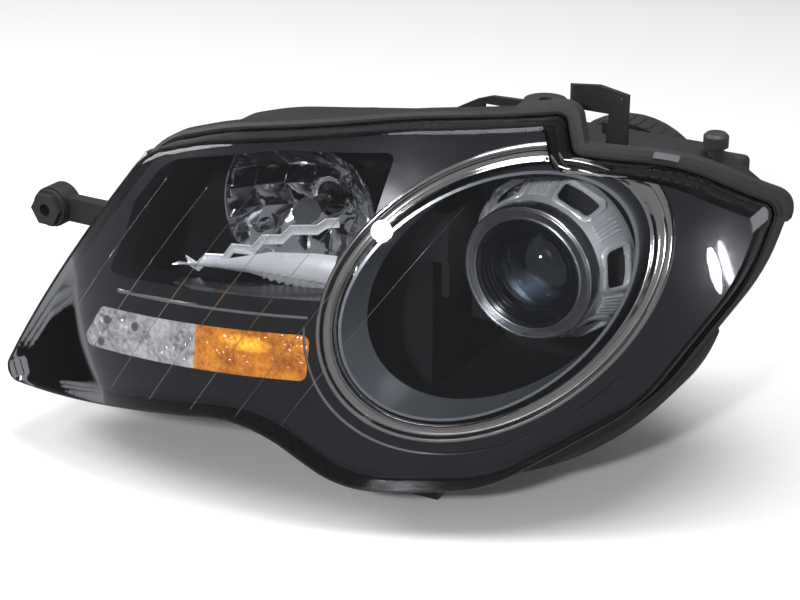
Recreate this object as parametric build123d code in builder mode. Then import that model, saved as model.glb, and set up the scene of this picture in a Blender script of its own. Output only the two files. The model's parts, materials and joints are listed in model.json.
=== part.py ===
"""Left front headlight of a passenger car: clear lens, black housing, round projector low beam outboard,
faceted high beam and an indicator strip inboard, on one aiming frame with levelling motor and aiming screw.

The origin is the centre of the top bolt hole, on the upper face of its bush. +Z is up, -Y is forward, out
of the lens, and +X is outboard. Millimetres.

Most pieces are drawn in the front view, whose own datum lies on the crown, the spherical front of the lens.
`front(depth)` is the front view that far behind the crown's foremost point, and `axial(at, ...)` makes a
section, as corners of radius and depth, to be turned about the fore-and-aft line through `at`.
"""

import os
from math import cos, radians, sin

from build123d import *

# ---------------------------------------------------------------- driving dimensions
DATUM = (-61.0, -205.0, -119.0)  # front-view datum seen from the top bolt: across, back, up
CROWN_RADIUS = 450.0
CROWN_AT = (-140.0, -120.0)
REACH = 340.0  # longer than the lamp is deep

# outline of the lens in the front view: corner and its radius, anticlockwise from the inboard tip
OUTLINE = [
    ((-303, -109), 12),
    ((-66, -79), 90),
    ((0, -122), 75),
    ((88, -117), 80),
    ((172, -62), 80),
    ((211, 10), 90),
    ((215, 50), 16),
    ((160, 85), 120),
    ((101, 96), 10),
    ((90, 121), 9),
    ((0, 118), 400),
    ((-125, 100), 250),
    ((-172, 86), 45),
]
LENS_WALL = 3.0
LENS_DEPTH = 34.0  # from the crown to the foot that sits in the housing's channel
SEALANT_BED = 2.0  # under the lens's foot
LENS_EDGE_RADIUS = 9.0

# set-backs from the crown, front to back
BEZEL_FACE = 22.0
BEZEL_WALL = 2.5
CHANNEL_MOUTH = LENS_DEPTH - 6.0
CHANNEL_FLOOR = LENS_DEPTH + SEALANT_BED
PAN_DEPTH = CHANNEL_FLOOR + 24.0  # back of the shallow pan that follows the lens
HOUSING_WALL = 2.5
LIP_WALL = 2.5
CHANNEL_GAP = 2.0  # sealant either side of the lens's foot
SEAL_REACH = 7.5  # how far the top seal stands out of the lens's outline
BEZEL_INSET = LENS_WALL + 1.0
PAN_INSET = BEZEL_INSET + 2.5
PAN_INSIDE = PAN_INSET + HOUSING_WALL
SIDE = 400.0  # wider than the lamp

# openings in the bezel and the pieces in them, as corners in the front view
HIGH_WINDOW = [(-180, 74), (-76, 95), (0, 99), (-4, 60), (-22, 20), (-24, 4), (-200, -6), (-188, 25)]
STRIP = [(-203, -30), (-222, -62), (-34, -52), (-34, -20)]
AMBER_SPLIT = -119.0
TRIM_LINE = [(-188, -16), (-188, -14.2), (-36, -6.7), (-36, -8.5)]
BLADE = [(-156, 3), (-122, 12), (-80, 24), (-48, 27), (-30, 27), (-32, -1), (-99, 3)]
BLADE_FEET = (-130.0, -60.0)
BLADE_DEPTH = BEZEL_FACE + 21.0
INDICATOR_BULB_AT = (-80.0, -37.0)
INDICATOR_HOLE = 11.0
TRAY_DEPTH = 34.0
TRAY_SCREWS_AT = [(-196, -38), (-170, -37), (-201, -55)]
FLANGE_CLIPS_AT = [(-206, 50), (-192, 70), (152, 95)]

# housing chambers: depths and edges in the front view
HIGH_BACK = 172.0
LOW_BACK = 288.0
HIGH_EDGE = 20.0  # outboard edge of the inboard chamber
LOW_EDGE = -10.0  # inboard edge of the outboard chamber
LOW_ROOF = 78.0
BULGE_RADIUS = 128.0
BULGE_BACK = 205.0
BULGE_TOP = 40.0

# low beam projector
LOW_AT = (76.0, 10.0)
PROJECTOR_FRONT = 152.0
GLASS_RADIUS = 30.0
DOME_RADIUS = 1.3 * GLASS_RADIUS
RING_OPENING = GLASS_RADIUS + 10.0
RING_RADIUS = RING_OPENING + 9.0
RING_BACK = PROJECTOR_FRONT + 14.0
SHROUD_RIM = RING_RADIUS + 12.0
SHROUD_BACK = PROJECTOR_FRONT + 48.0
WINDOW_STEP = 60  # degrees between the windows of the shroud
WINDOW_WIDE = 32.0
WINDOW_DEEP = 20.0
CARRIER_BORE = 35.0
CARRIER_BACK = SHROUD_BACK + 8.0
REFLECTOR_MOUTH = 50.0
FLANGE_RADIUS = REFLECTOR_MOUTH + 4.0
FLANGE = 3.0
SHELL = 2.0
LOW_REFLECTOR_LENGTH = 68.0
REFLECTOR_BACK = CARRIER_BACK + LOW_REFLECTOR_LENGTH
SHIELD = [(-40, 30), (-40, -38), (40, -38), (40, 0), (14, 0), (0, -8), (-12, -8), (-30, 30)]
SHIELD_WALL = 1.5
LOW_BULB_BASE = 20.0
CLIP_WIRE = 1.0
LOW_CLIP_DROP = 24.0
HIGH_CLIP_DROP = 20.0

# high beam
HIGH_AT = (-78.0, 40.0)
HIGH_VERTEX = 152.0
HIGH_FOCUS = 20.0
HIGH_FRONT = 104.0
HIGH_BULB_BASE = 16.0

# chrome ring and its surround
POSITION_AT = (-120.0, 20.0)
RING_AT = (70.3, 9.5)
RING_SEMI = (107.3, 89.4)
RING_TURN = 39.4
RING_BAND = 12.0
SURROUND_LENGTH = 31.0
SURROUND_TAPER = 3.0  # degrees

# aiming: pivot above the levelling ball, both on the yaw axis; lateral screw's ball level with the pivot
PIVOT_AT = (10.0, 52.0)
LEVEL_AT = (10.0, -52.0)
LATERAL_AT = (162.0, 52.0)
AIM_DEPTH = CARRIER_BACK + 24.0
BALL = 5.0
BALL_CLEARANCE = 0.3
CUP_WALL = 3.0
CUP_LIP = 0.3  # how far a cup's mouth closes in on its ball
SOCKET_RADIUS = BALL + CUP_WALL + 1.0
PIN_RADIUS = 3.0
CHEEK_GAP = 0.4
CHEEK = 5.0
PIN_LENGTH = SOCKET_RADIUS + CHEEK_GAP + CHEEK
STUD = 3.5
SCREW_RADIUS = 4.0
MOTOR_NECK = 13.6
RUNNING = 0.05
FRAME_WALL = 4.0
FRAME_BORE = REFLECTOR_MOUTH + 0.5
FRAME_FORE = CARRIER_BACK + FLANGE
FRAME_DEPTH = FRAME_FORE + 1.0
POST_RADIUS = 3.5
POSTS_AT = [(-130, 10), (-130, 72), (-34, 10), (-34, 72)]

# access covers
LOW_TUBE = 62.0
HIGH_TUBE = 44.0
TUBE_LENGTH = 40.0
COVER_GAP = 0.4
COVER_WALL = 2.5
SEAL_DEPTH = 3.0

# mounts
TOP_BOLT_AT = (61.0, 205.0)  # across and deep
TOP_BUSH_RADIUS = 15.0
TOP_BARREL = 9.0
TOP_HOLE = 4.5
TOP_BORE = 24.0
TOP_FACE = -DATUM[2]  # height of the bush's face in the front view
BRACKET_TOP = TOP_FACE - 3.0
BUSH_FOOT = BRACKET_TOP - 25.0
GUSSET = [(-44, 78), (-38, 86), (8, 111), (20, 115), (52, 116), (52, LOW_ROOF - 1), (-10, LOW_ROOF - 1)]
HOOK = [(60, 112), (60, 127), (96, 131), (118, 127), (118, 60), (104, 60), (104, 112)]
EAR_AT = (-270.0, 22.0)
EAR_HOLE = 4.5
EAR_FACE = 68.0
EAR_BARREL = 11.0
EAR_WALL = 4.0
HEX_REACH = 12.7
LATERAL_KNOB_AT = (162.0, LOW_BACK - 16.0)  # across and deep
LATERAL_KNOB_RADIUS = 9.0
VERTICAL_KNOB_AT = (100.0, AIM_DEPTH)
VERTICAL_KNOB_RADIUS = 7.0
STEM_STEP = 3.0  # a knob's stem is this much thinner than its head
CONNECTOR_AT = (165.0, -20.0)
BREATHER_AT = (3.0, 8.0)
LUG_AT = (26.0, -142.0)
LUG_HOLE = 3.25
LUG_DEPTH = 10.0


# ---------------------------------------------------------------- helpers
def front(depth=0.0):
    """Front view plane, local x outboard and y up, its normal pointing forward."""
    return Plane(origin=(DATUM[0], DATUM[1] + depth, DATUM[2]), x_dir=(1, 0, 0), z_dir=(0, -1, 0))


def fore_aft(at):
    """The fore-and-aft line through a point of the front view."""
    return Axis((DATUM[0] + at[0], DATUM[1], DATUM[2] + at[1]), (0, 1, 0))


def axial(at, *corners):
    """A section on the fore-and-aft line through `at`, its corners given as radius and depth."""
    plane = Plane(origin=fore_aft(at).position, x_dir=(1, 0, 0), z_dir=(0, 0, 1))
    with BuildSketch(plane) as section:
        Polygon(*corners, align=None)
    return section.sketch


def upright(at, *corners):
    """A section on the vertical line through `at` (across, deep), its corners as radius and height."""
    origin = (DATUM[0] + at[0], DATUM[1] + at[1], DATUM[2])
    with BuildSketch(Plane(origin=origin, x_dir=(1, 0, 0), z_dir=(0, -1, 0))) as section:
        Polygon(*corners, align=None)
    return section.sketch


def vertical(at):
    """The vertical line through a point of the plan, across and deep."""
    return Axis((DATUM[0] + at[0], DATUM[1] + at[1], DATUM[2]), (0, 0, 1))


def crown(set_back=0.0, radius=CROWN_RADIUS):
    """Ball whose foremost side is the crown moved straight back; a smaller radius gives a parallel skin."""
    centre = front(CROWN_RADIUS + set_back).from_local_coords((CROWN_AT[0], CROWN_AT[1], 0))
    return Location(centre) * Sphere(radius, mode=Mode.PRIVATE)


def outline(inset=0.0):
    """The lens outline as a face in front-view coordinates, taken in by inset."""
    with BuildSketch(Plane.XY) as sketch:
        with BuildLine():
            FilletPolyline([p for p, _ in OUTLINE], radius=[r for _, r in OUTLINE], close=True)
        make_face()
        if inset:
            offset(amount=-inset, kind=Kind.ARC, mode=Mode.REPLACE)
    return sketch.sketch


def prism(face, fore, aft):
    """A front-view face drawn out between two depths."""
    with BuildPart() as solid:
        with BuildSketch(front(fore)):
            add(face)
        extrude(amount=fore - aft)
    return solid.part


def plate(face, fore, aft, hole=None):
    """A front-view face, less a hole, as a plate between two set-backs from the crown."""
    with BuildPart() as sheet:
        with BuildSketch(front(-1)):
            add(face)
            if hole:
                add(hole, mode=Mode.SUBTRACT)
        extrude(amount=-REACH)
        add(crown(fore), mode=Mode.INTERSECT)
        add(crown(aft), mode=Mode.SUBTRACT)
    return sheet.part


def behind(face, fore, back):
    """A front-view face drawn out from a set-back from the crown to a flat back."""
    with BuildPart() as solid:
        with BuildSketch(front(back)):
            add(face)
        extrude(amount=back + 1)
        add(crown(fore), mode=Mode.INTERSECT)
    return solid.part


def window(left, bottom, right, top):
    """A front-view rectangle between its edges."""
    with BuildSketch(Plane.XY) as sketch:
        with Locations(((left + right) / 2, (bottom + top) / 2)):
            Rectangle(right - left, top - bottom)
    return sketch.sketch


def oval(grow=0.0):
    """The chrome ring's outer ellipse, grown evenly."""
    with BuildSketch(Plane.XY) as sketch:
        with Locations(Location((RING_AT[0], RING_AT[1], 0), (0, 0, RING_TURN))):
            Ellipse(RING_SEMI[0] + grow, RING_SEMI[1] + grow)
    return sketch.sketch


def corners_at(points, grow=0.0, soften=0.0):
    """A polygon in the front view, grown evenly, its corners rounded."""
    with BuildSketch(Plane.XY) as sketch:
        Polygon(*points, align=None)
        if soften:
            fillet(sketch.vertices(), soften)
        if grow:
            offset(amount=grow, kind=Kind.ARC, mode=Mode.REPLACE)
    return sketch.sketch


def disc(at, radius, depth, thickness):
    """A plain round plate about a fore-and-aft line, from depth backwards."""
    return revolve(
        axial(at, (0, depth), (radius, depth), (radius, depth + thickness), (0, depth + thickness)),
        axis=fore_aft(at),
        mode=Mode.PRIVATE,
    )


def pipe(at, outer, inner, fore, aft):
    """A plain pipe about a fore-and-aft line."""
    return revolve(
        axial(at, (inner, fore), (outer, fore), (outer, aft), (inner, aft)),
        axis=fore_aft(at),
        mode=Mode.PRIVATE,
    )


def ball(at, radius, depth):
    """A ball centred on a fore-and-aft line."""
    centre = front(depth).from_local_coords((at[0], at[1], 0))
    return Location(centre) * Sphere(radius, mode=Mode.PRIVATE)


def block(left, bottom, right, top, fore, aft):
    """A plain block between its six faces."""
    return prism(window(left, bottom, right, top), fore, aft)


def keep(part, name):
    """Name a finished piece and write it."""
    part.label = name
    export_step(part, f"parts/{name}.step")


os.makedirs("parts", exist_ok=True)

# ---------------------------------------------------------------- lens and its seal
with BuildPart() as lens:
    add(behind(outline(), 0, REACH))
    fillet(lens.faces().filter_by(GeomType.SPHERE).edges(), LENS_EDGE_RADIUS)
    with BuildSketch(front(REACH)):
        add(outline(LENS_WALL))
    hollow = extrude(amount=REACH + 1, mode=Mode.PRIVATE)
    add(hollow & crown(0, CROWN_RADIUS - LENS_WALL), mode=Mode.SUBTRACT)
    add(crown(LENS_DEPTH), mode=Mode.SUBTRACT)
keep(lens.part, "lens")

with BuildPart() as lens_sealant:
    add(plate(outline(-CHANNEL_GAP), CHANNEL_FLOOR - 5, CHANNEL_FLOOR, outline(LENS_WALL + 1)))
    add(lens.part, mode=Mode.SUBTRACT)
keep(lens_sealant.part, "lens_sealant")

# ---------------------------------------------------------------- housing
def chamber(inset, wall):
    """Everything the housing encloses: pan, inboard and outboard chambers and the bulge; wall shrinks it."""
    face = outline(inset)
    high = face & window(-SIDE, -SIDE, HIGH_EDGE - wall, SIDE)
    low = face & window(LOW_EDGE + wall, -SIDE, SIDE, LOW_ROOF - wall)
    with BuildSketch(Plane.XY) as bulge:
        with Locations(LOW_AT):
            Circle(BULGE_RADIUS - wall)
        add(window(-SIDE, BULGE_TOP - wall, SIDE, SIDE), mode=Mode.SUBTRACT)
        add(window(-SIDE, -SIDE, LOW_AT[0], SIDE), mode=Mode.SUBTRACT)
    with BuildPart() as space:
        add(plate(face, CHANNEL_FLOOR, PAN_DEPTH - wall))
        add(behind(high, CHANNEL_FLOOR, HIGH_BACK - wall))
        add(behind(low, CHANNEL_FLOOR, LOW_BACK - wall))
        add(behind(bulge.sketch, CHANNEL_FLOOR + wall, BULGE_BACK - wall))
    return space.part


with BuildPart() as housing:
    add(chamber(PAN_INSET, 0))
    lip, channel = outline(-CHANNEL_GAP - LIP_WALL), outline(-CHANNEL_GAP)
    add(plate(lip, CHANNEL_MOUTH, CHANNEL_FLOOR + LIP_WALL, channel))
    add(plate(channel, CHANNEL_FLOOR, CHANNEL_FLOOR + LIP_WALL, outline(PAN_INSET + 1)))
    # tubes for the access covers, and bosses
    add(pipe(LOW_AT, LOW_TUBE, LOW_TUBE - HOUSING_WALL, LOW_BACK - 1, LOW_BACK + TUBE_LENGTH))
    add(pipe(HIGH_AT, HIGH_TUBE, HIGH_TUBE - HOUSING_WALL, HIGH_BACK - 1, HIGH_BACK + TUBE_LENGTH))
    # top bracket: boss for the bolt, gusset towards the pan, and the outboard hook
    rim, foot = TOP_BUSH_RADIUS + 2, LOW_ROOF - 1
    boss = upright(TOP_BOLT_AT, (0, foot), (rim, foot), (rim, BRACKET_TOP), (0, BRACKET_TOP))
    revolve(boss, axis=vertical(TOP_BOLT_AT))
    add(prism(corners_at(GUSSET), 203, 207))
    add(prism(window(14, 97, 30, 109), 202, 208), mode=Mode.SUBTRACT)
    add(prism(corners_at(HOOK), 216, 220))
    add(block(58, 108, 66, 116, 206, 220))
    # arm and boss of the inboard ear, and the bottom lug
    add(block(-272, 13, -198, 31, 70, 80))
    add(disc(EAR_AT, EAR_BARREL + EAR_WALL, EAR_FACE, 16))
    add(block(LUG_AT[0] - 12, LUG_AT[1] - 8, LUG_AT[0] + 12, -112, 96, 96 + LUG_DEPTH))
    add(chamber(PAN_INSIDE, HOUSING_WALL), mode=Mode.SUBTRACT)
    add(plate(outline(PAN_INSIDE), CHANNEL_FLOOR - 2, CHANNEL_FLOOR + LIP_WALL + 2), mode=Mode.SUBTRACT)
    # inner lip that carries the bezel
    add(plate(outline(BEZEL_INSET), CHANNEL_FLOOR - 4, CHANNEL_FLOOR + LIP_WALL, outline(BEZEL_INSET + 2)))
    add(plate(outline(BEZEL_INSET), CHANNEL_FLOOR, CHANNEL_FLOOR + LIP_WALL, outline(PAN_INSIDE)))
    # openings
    add(disc(LOW_AT, LOW_TUBE - HOUSING_WALL, LOW_BACK - 8, 20), mode=Mode.SUBTRACT)
    add(disc(HIGH_AT, HIGH_TUBE - HOUSING_WALL, HIGH_BACK - 8, 20), mode=Mode.SUBTRACT)
    add(disc(EAR_AT, EAR_BARREL, EAR_FACE - 8, 40), mode=Mode.SUBTRACT)
    add(disc(LUG_AT, LUG_HOLE, 90, 30), mode=Mode.SUBTRACT)
    add(disc(LEVEL_AT, MOTOR_NECK + COVER_GAP, LOW_BACK - 8, 20), mode=Mode.SUBTRACT)
    add(disc(LATERAL_AT, SCREW_RADIUS + RUNNING, LOW_BACK - 8, 20), mode=Mode.SUBTRACT)
    for at, radius in [(LATERAL_KNOB_AT, LATERAL_KNOB_RADIUS), (VERTICAL_KNOB_AT, VERTICAL_KNOB_RADIUS)]:
        bore = radius - STEM_STEP + RUNNING
        low, high = LOW_ROOF - 18, LOW_ROOF + 22
        hole = upright(at, (0, low), (bore, low), (bore, high), (0, high))
        revolve(hole, axis=vertical(at), mode=Mode.SUBTRACT)
    barrel = [(0, BUSH_FOOT), (TOP_BARREL, BUSH_FOOT), (TOP_BARREL, BRACKET_TOP)]
    room = [(rim + 2, BRACKET_TOP), (rim + 2, BRACKET_TOP + 24), (0, BRACKET_TOP + 24)]
    revolve(upright(TOP_BOLT_AT, *barrel, *room), axis=vertical(TOP_BOLT_AT), mode=Mode.SUBTRACT)
keep(housing.part, "housing")

with BuildPart() as top_seal:
    seal_area = window(62, 40, 300, 200)
    add(plate(outline(-SEAL_REACH) & seal_area, CHANNEL_MOUTH, CHANNEL_FLOOR, lip))
keep(top_seal.part, "top_seal")

with BuildPart() as flange_clips:
    for across, up in FLANGE_CLIPS_AT:
        clip_area = window(across - 7, up - 7, across + 7, up + 7)
        add(plate(outline(-SEAL_REACH) & clip_area, CHANNEL_MOUTH - 2, CHANNEL_FLOOR - 1, lip))
    add(top_seal.part, mode=Mode.SUBTRACT)
keep(flange_clips.part, "flange_clips")

# ---------------------------------------------------------------- bezel and what it carries
high_window = corners_at(HIGH_WINDOW, soften=5) & outline(PAN_INSIDE + 3)

with BuildPart() as bezel:
    face = outline(BEZEL_INSET) - oval() - high_window - corners_at(STRIP, soften=6)
    add(plate(face, BEZEL_FACE, BEZEL_FACE + BEZEL_WALL))
    add(plate(outline(BEZEL_INSET), BEZEL_FACE, CHANNEL_FLOOR - 4, outline(BEZEL_INSET + 2)))
    collar = offset(high_window, amount=2, kind=Kind.ARC, mode=Mode.PRIVATE) - oval(1)
    add(plate(collar, BEZEL_FACE + 1, BEZEL_FACE + 14, high_window))
    add(plate(collar & window(-SIDE, -SIDE, SIDE, 36), BEZEL_FACE + 10, BEZEL_FACE + 24, high_window))
keep(bezel.part, "bezel")

with BuildPart() as high_beam_blade:
    face = corners_at(BLADE, soften=3) & offset(high_window, amount=-BALL_CLEARANCE, mode=Mode.PRIVATE)
    for across in BLADE_FEET:
        face += window(across - 4, -10, across + 4, 12) & high_window
    add(plate(face, BLADE_DEPTH, BLADE_DEPTH + SHELL))
keep(high_beam_blade.part, "high_beam_blade")

with BuildPart() as bezel_trim:
    add(plate(corners_at(TRIM_LINE, soften=0.6), BEZEL_FACE - 2, BEZEL_FACE))
keep(bezel_trim.part, "bezel_trim")

with BuildPart() as bezel_ring:
    add(plate(oval() & outline(BEZEL_INSET + 2.5), BEZEL_FACE - 3, BEZEL_FACE + 3, oval(-RING_BAND)))
keep(bezel_ring.part, "bezel_ring")

with BuildPart() as low_beam_surround:
    with BuildSketch(front(0)):
        add(oval(-RING_BAND + 2))
    extrude(amount=-REACH, taper=SURROUND_TAPER)
    with BuildSketch(front(0)):
        add(oval(-RING_BAND))
    extrude(amount=-REACH, taper=SURROUND_TAPER, mode=Mode.SUBTRACT)
    add(crown(BEZEL_FACE + 3), mode=Mode.INTERSECT)
    add(crown(BEZEL_FACE + 3 + SURROUND_LENGTH), mode=Mode.SUBTRACT)
keep(low_beam_surround.part, "low_beam_surround")

# ---------------------------------------------------------------- indicator
STRIP_LEFT = window(-SIDE, -SIDE, AMBER_SPLIT, SIDE)
STRIP_RIGHT = window(AMBER_SPLIT, -SIDE, SIDE, SIDE)

with BuildPart() as indicator_lens:
    add(plate(corners_at(STRIP, soften=6) & STRIP_LEFT, BEZEL_FACE + 0.5, BEZEL_FACE + BEZEL_WALL))
keep(indicator_lens.part, "indicator_lens")

with BuildPart() as amber_lens:
    add(plate(corners_at(STRIP, soften=6) & STRIP_RIGHT, BEZEL_FACE + 0.5, BEZEL_FACE + BEZEL_WALL))
keep(amber_lens.part, "amber_lens")

with BuildPart() as indicator_tray:
    tray, well = corners_at(STRIP, grow=2, soften=6), corners_at(STRIP, soften=6)
    add(plate(tray, BEZEL_FACE + BEZEL_WALL, BEZEL_FACE + TRAY_DEPTH, well))
    add(plate(tray, BEZEL_FACE + TRAY_DEPTH, BEZEL_FACE + TRAY_DEPTH + SHELL))
    add(pipe(INDICATOR_BULB_AT, 15, 0, 66, 78))
    add(disc(INDICATOR_BULB_AT, INDICATOR_HOLE, 50, 50), mode=Mode.SUBTRACT)
    add(plate(well, BEZEL_FACE + BEZEL_WALL, BEZEL_FACE + TRAY_DEPTH), mode=Mode.SUBTRACT)
keep(indicator_tray.part, "indicator_tray")

with BuildPart() as indicator_screws:
    with BuildSketch(Plane.XY) as heads:
        with Locations(*TRAY_SCREWS_AT):
            Circle(3)
    add(plate(heads.sketch, BEZEL_FACE - 1.5, BEZEL_FACE + 0.5))
keep(indicator_screws.part, "indicator_screws")

with BuildPart() as indicator_socket:
    add(pipe(INDICATOR_BULB_AT, INDICATOR_HOLE - BALL_CLEARANCE, 6, 70, 82))
    add(disc(INDICATOR_BULB_AT, 17, 78.3, 4))
    add(disc(INDICATOR_BULB_AT, 8, 82, 12))
keep(indicator_socket.part, "indicator_socket")

with BuildPart() as indicator_bulb:
    add(disc(INDICATOR_BULB_AT, 6, 66, 12.3))
    add(disc(INDICATOR_BULB_AT, 8, 46, 20))
    add(ball(INDICATOR_BULB_AT, 8, 46))
keep(indicator_bulb.part, "indicator_bulb")

# ---------------------------------------------------------------- bulb clips: a wire loop hinged on a lug
def clip_lug(at, drop, depth, reach):
    """Lug under a bulb's neck, bored across for the clip's hinge bar."""
    centre = front(depth).from_local_coords((at[0] - 10, at[1] - drop, 0))
    with BuildPart() as lug:
        add(block(at[0] - 5, at[1] - drop - 4, at[0] + 5, at[1] - drop + 3.4, depth - reach, depth + 3))
        with BuildSketch(Plane(origin=centre, z_dir=(1, 0, 0))):
            Circle(CLIP_WIRE + RUNNING)
        extrude(amount=20, mode=Mode.SUBTRACT)
    return lug.part


def wire_clip(at, drop, rise, half, depth):
    """Closed wire loop behind a bulb's base, its lowest bar being the hinge."""
    left, right, bottom, top = at[0] - half, at[0] + half, at[1] - drop, at[1] + rise
    with BuildPart() as clip:
        with BuildLine(front(depth)) as path:
            FilletPolyline((left, bottom), (right, bottom), (right, top), (left, top), radius=4, close=True)
        start = front(depth).from_local_coords((at[0], bottom, 0))
        with BuildSketch(Plane(origin=start, z_dir=(1, 0, 0))):
            Circle(CLIP_WIRE)
        sweep(path=path.wire())
    return clip.part


# ---------------------------------------------------------------- projector low beam
with BuildPart() as projector_lens:
    dome = ball(LOW_AT, DOME_RADIUS, PROJECTOR_FRONT - 6 + DOME_RADIUS)
    add(dome & disc(LOW_AT, GLASS_RADIUS, PROJECTOR_FRONT - 8, 22))
keep(projector_lens.part, "projector_lens")

with BuildPart() as projector_lens_ring:
    rim = [(RING_OPENING, PROJECTOR_FRONT), (RING_RADIUS, PROJECTOR_FRONT), (RING_RADIUS, RING_BACK)]
    grip = GLASS_RADIUS - 1.5
    seat = [(grip, RING_BACK), (grip, RING_BACK - 4), (RING_OPENING - 6, RING_BACK - 6)]
    revolve(axial(LOW_AT, *rim, *seat), axis=fore_aft(LOW_AT))
    add(projector_lens.part, mode=Mode.SUBTRACT)
    fillet(projector_lens_ring.edges().filter_by(GeomType.CIRCLE).sort_by(Axis.Y)[:2], 1.2)
keep(projector_lens_ring.part, "projector_lens_ring")

with BuildPart() as projector_shroud:
    outside = [(RING_RADIUS - 3, RING_BACK), (RING_RADIUS - 1, RING_BACK), (SHROUD_RIM, SHROUD_BACK - 4)]
    foot = [(SHROUD_RIM, SHROUD_BACK), (SHROUD_RIM - 4, SHROUD_BACK), (SHROUD_RIM - 4, SHROUD_BACK - 3)]
    revolve(axial(LOW_AT, *outside, *foot), axis=fore_aft(LOW_AT))
    for angle in range(5, 365, WINDOW_STEP):
        turn = radians(angle)
        wall = (RING_RADIUS + SHROUD_RIM) / 2 - 1
        vent_at = (LOW_AT[0] + wall * cos(turn), LOW_AT[1] + wall * sin(turn))
        centre = front((RING_BACK + SHROUD_BACK) / 2).from_local_coords((vent_at[0], vent_at[1], 0))
        slot = Location(centre, (0, -angle, 0))
        add(slot * Box(24, WINDOW_DEEP, WINDOW_WIDE, mode=Mode.PRIVATE), mode=Mode.SUBTRACT)
keep(projector_shroud.part, "projector_shroud")

with BuildPart() as projector_carrier:
    add(pipe(LOW_AT, CARRIER_BORE + 3, CARRIER_BORE, RING_BACK, CARRIER_BACK - FLANGE))
    add(pipe(LOW_AT, FLANGE_RADIUS, CARRIER_BORE, SHROUD_BACK, CARRIER_BACK))
keep(projector_carrier.part, "projector_carrier")

with BuildPart() as cutoff_shield:
    below = window(0, -SIDE, SIDE, LOW_AT[1])
    blade = corners_at([(LOW_AT[0] + x, LOW_AT[1] + z - 6) for x, z in SHIELD]) & below
    add(prism(blade, CARRIER_BACK, CARRIER_BACK + SHIELD_WALL))
    add(disc(LOW_AT, REFLECTOR_MOUTH - 4, CARRIER_BACK, SHIELD_WALL), mode=Mode.INTERSECT)
keep(cutoff_shield.part, "cutoff_shield")

def egg(radius, length, angles):
    """Points of the low beam's elliptical bowl, as radius and depth, at angles back from its mouth."""
    return [(radius * cos(radians(a)), CARRIER_BACK + length * sin(radians(a))) for a in angles]


with BuildPart() as projector_reflector:
    flange = [(FLANGE_RADIUS, CARRIER_BACK), (FLANGE_RADIUS, FRAME_FORE), (REFLECTOR_MOUTH, FRAME_FORE)]
    outer = egg(REFLECTOR_MOUTH, LOW_REFLECTOR_LENGTH, range(6, 66, 6))
    neck = [(22, REFLECTOR_BACK - 8), (22, REFLECTOR_BACK - 2), (12, REFLECTOR_BACK - 2)]
    inner = egg(REFLECTOR_MOUTH - SHELL, LOW_REFLECTOR_LENGTH - SHELL, range(72, -6, -6))
    revolve(axial(LOW_AT, *flange, *outer, *neck, (12, inner[0][1]), *inner), axis=fore_aft(LOW_AT))
    add(clip_lug(LOW_AT, LOW_CLIP_DROP, REFLECTOR_BACK + 2.3, 12))
    add(cutoff_shield.part, mode=Mode.SUBTRACT)
keep(projector_reflector.part, "projector_reflector")

with BuildPart() as low_beam_bulb:
    add(disc(LOW_AT, 6, REFLECTOR_BACK - 48, 48))
    add(ball(LOW_AT, 6, REFLECTOR_BACK - 48))
    add(disc(LOW_AT, 11.6, REFLECTOR_BACK - 8, 8))
    add(disc(LOW_AT, LOW_BULB_BASE, REFLECTOR_BACK - 2, 3))
    add(disc(LOW_AT, 9, REFLECTOR_BACK + 1, 8))
keep(low_beam_bulb.part, "low_beam_bulb")

with BuildPart() as low_beam_plug:
    back = REFLECTOR_BACK + 9
    add(block(LOW_AT[0] - 11, LOW_AT[1] - 9, LOW_AT[0] + 11, LOW_AT[1] + 9, back, back + 18))
    fillet(low_beam_plug.edges().filter_by(Axis.Y), 3)
keep(low_beam_plug.part, "low_beam_plug")

# ---------------------------------------------------------------- high beam
def bowl(wall):
    """Points along the high beam's parabola, moved back by wall, as radius and depth."""
    return [(float(r), HIGH_VERTEX - r * r / (4 * HIGH_FOCUS) + wall) for r in range(12, 78, 6)]


with BuildPart() as high_beam_reflector:
    corners = bowl(0) + list(reversed(bowl(SHELL)))
    revolve(axial(HIGH_AT, *corners), axis=fore_aft(HIGH_AT))
    add(block(-144, 0, -25, 80, HIGH_FRONT, HIGH_VERTEX + 6), mode=Mode.INTERSECT)
    add(pipe(HIGH_AT, 20, 12, HIGH_VERTEX - 5, HIGH_VERTEX + 3))
    add(clip_lug(HIGH_AT, HIGH_CLIP_DROP, HIGH_VERTEX + 7.3, 14))
    add(disc(HIGH_AT, 12, HIGH_VERTEX - 20, 40), mode=Mode.SUBTRACT)
    add(disc(POSITION_AT, 7, 100, 50), mode=Mode.SUBTRACT)
keep(high_beam_reflector.part, "high_beam_reflector")

with BuildPart() as high_beam_bulb:
    add(disc(HIGH_AT, 6, HIGH_VERTEX - 32, 32))
    add(ball(HIGH_AT, 6, HIGH_VERTEX - 32))
    add(disc(HIGH_AT, 11.6, HIGH_VERTEX - 3, 6))
    add(disc(HIGH_AT, HIGH_BULB_BASE, HIGH_VERTEX + 3, 3))
    add(disc(HIGH_AT, 9, HIGH_VERTEX + 6, 8))
keep(high_beam_bulb.part, "high_beam_bulb")

with BuildPart() as high_beam_plug:
    back = HIGH_VERTEX + 14
    add(block(HIGH_AT[0] - 10, HIGH_AT[1] - 8, HIGH_AT[0] + 10, HIGH_AT[1] + 8, back, back + 16))
    fillet(high_beam_plug.edges().filter_by(Axis.Y), 3)
keep(high_beam_plug.part, "high_beam_plug")

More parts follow.
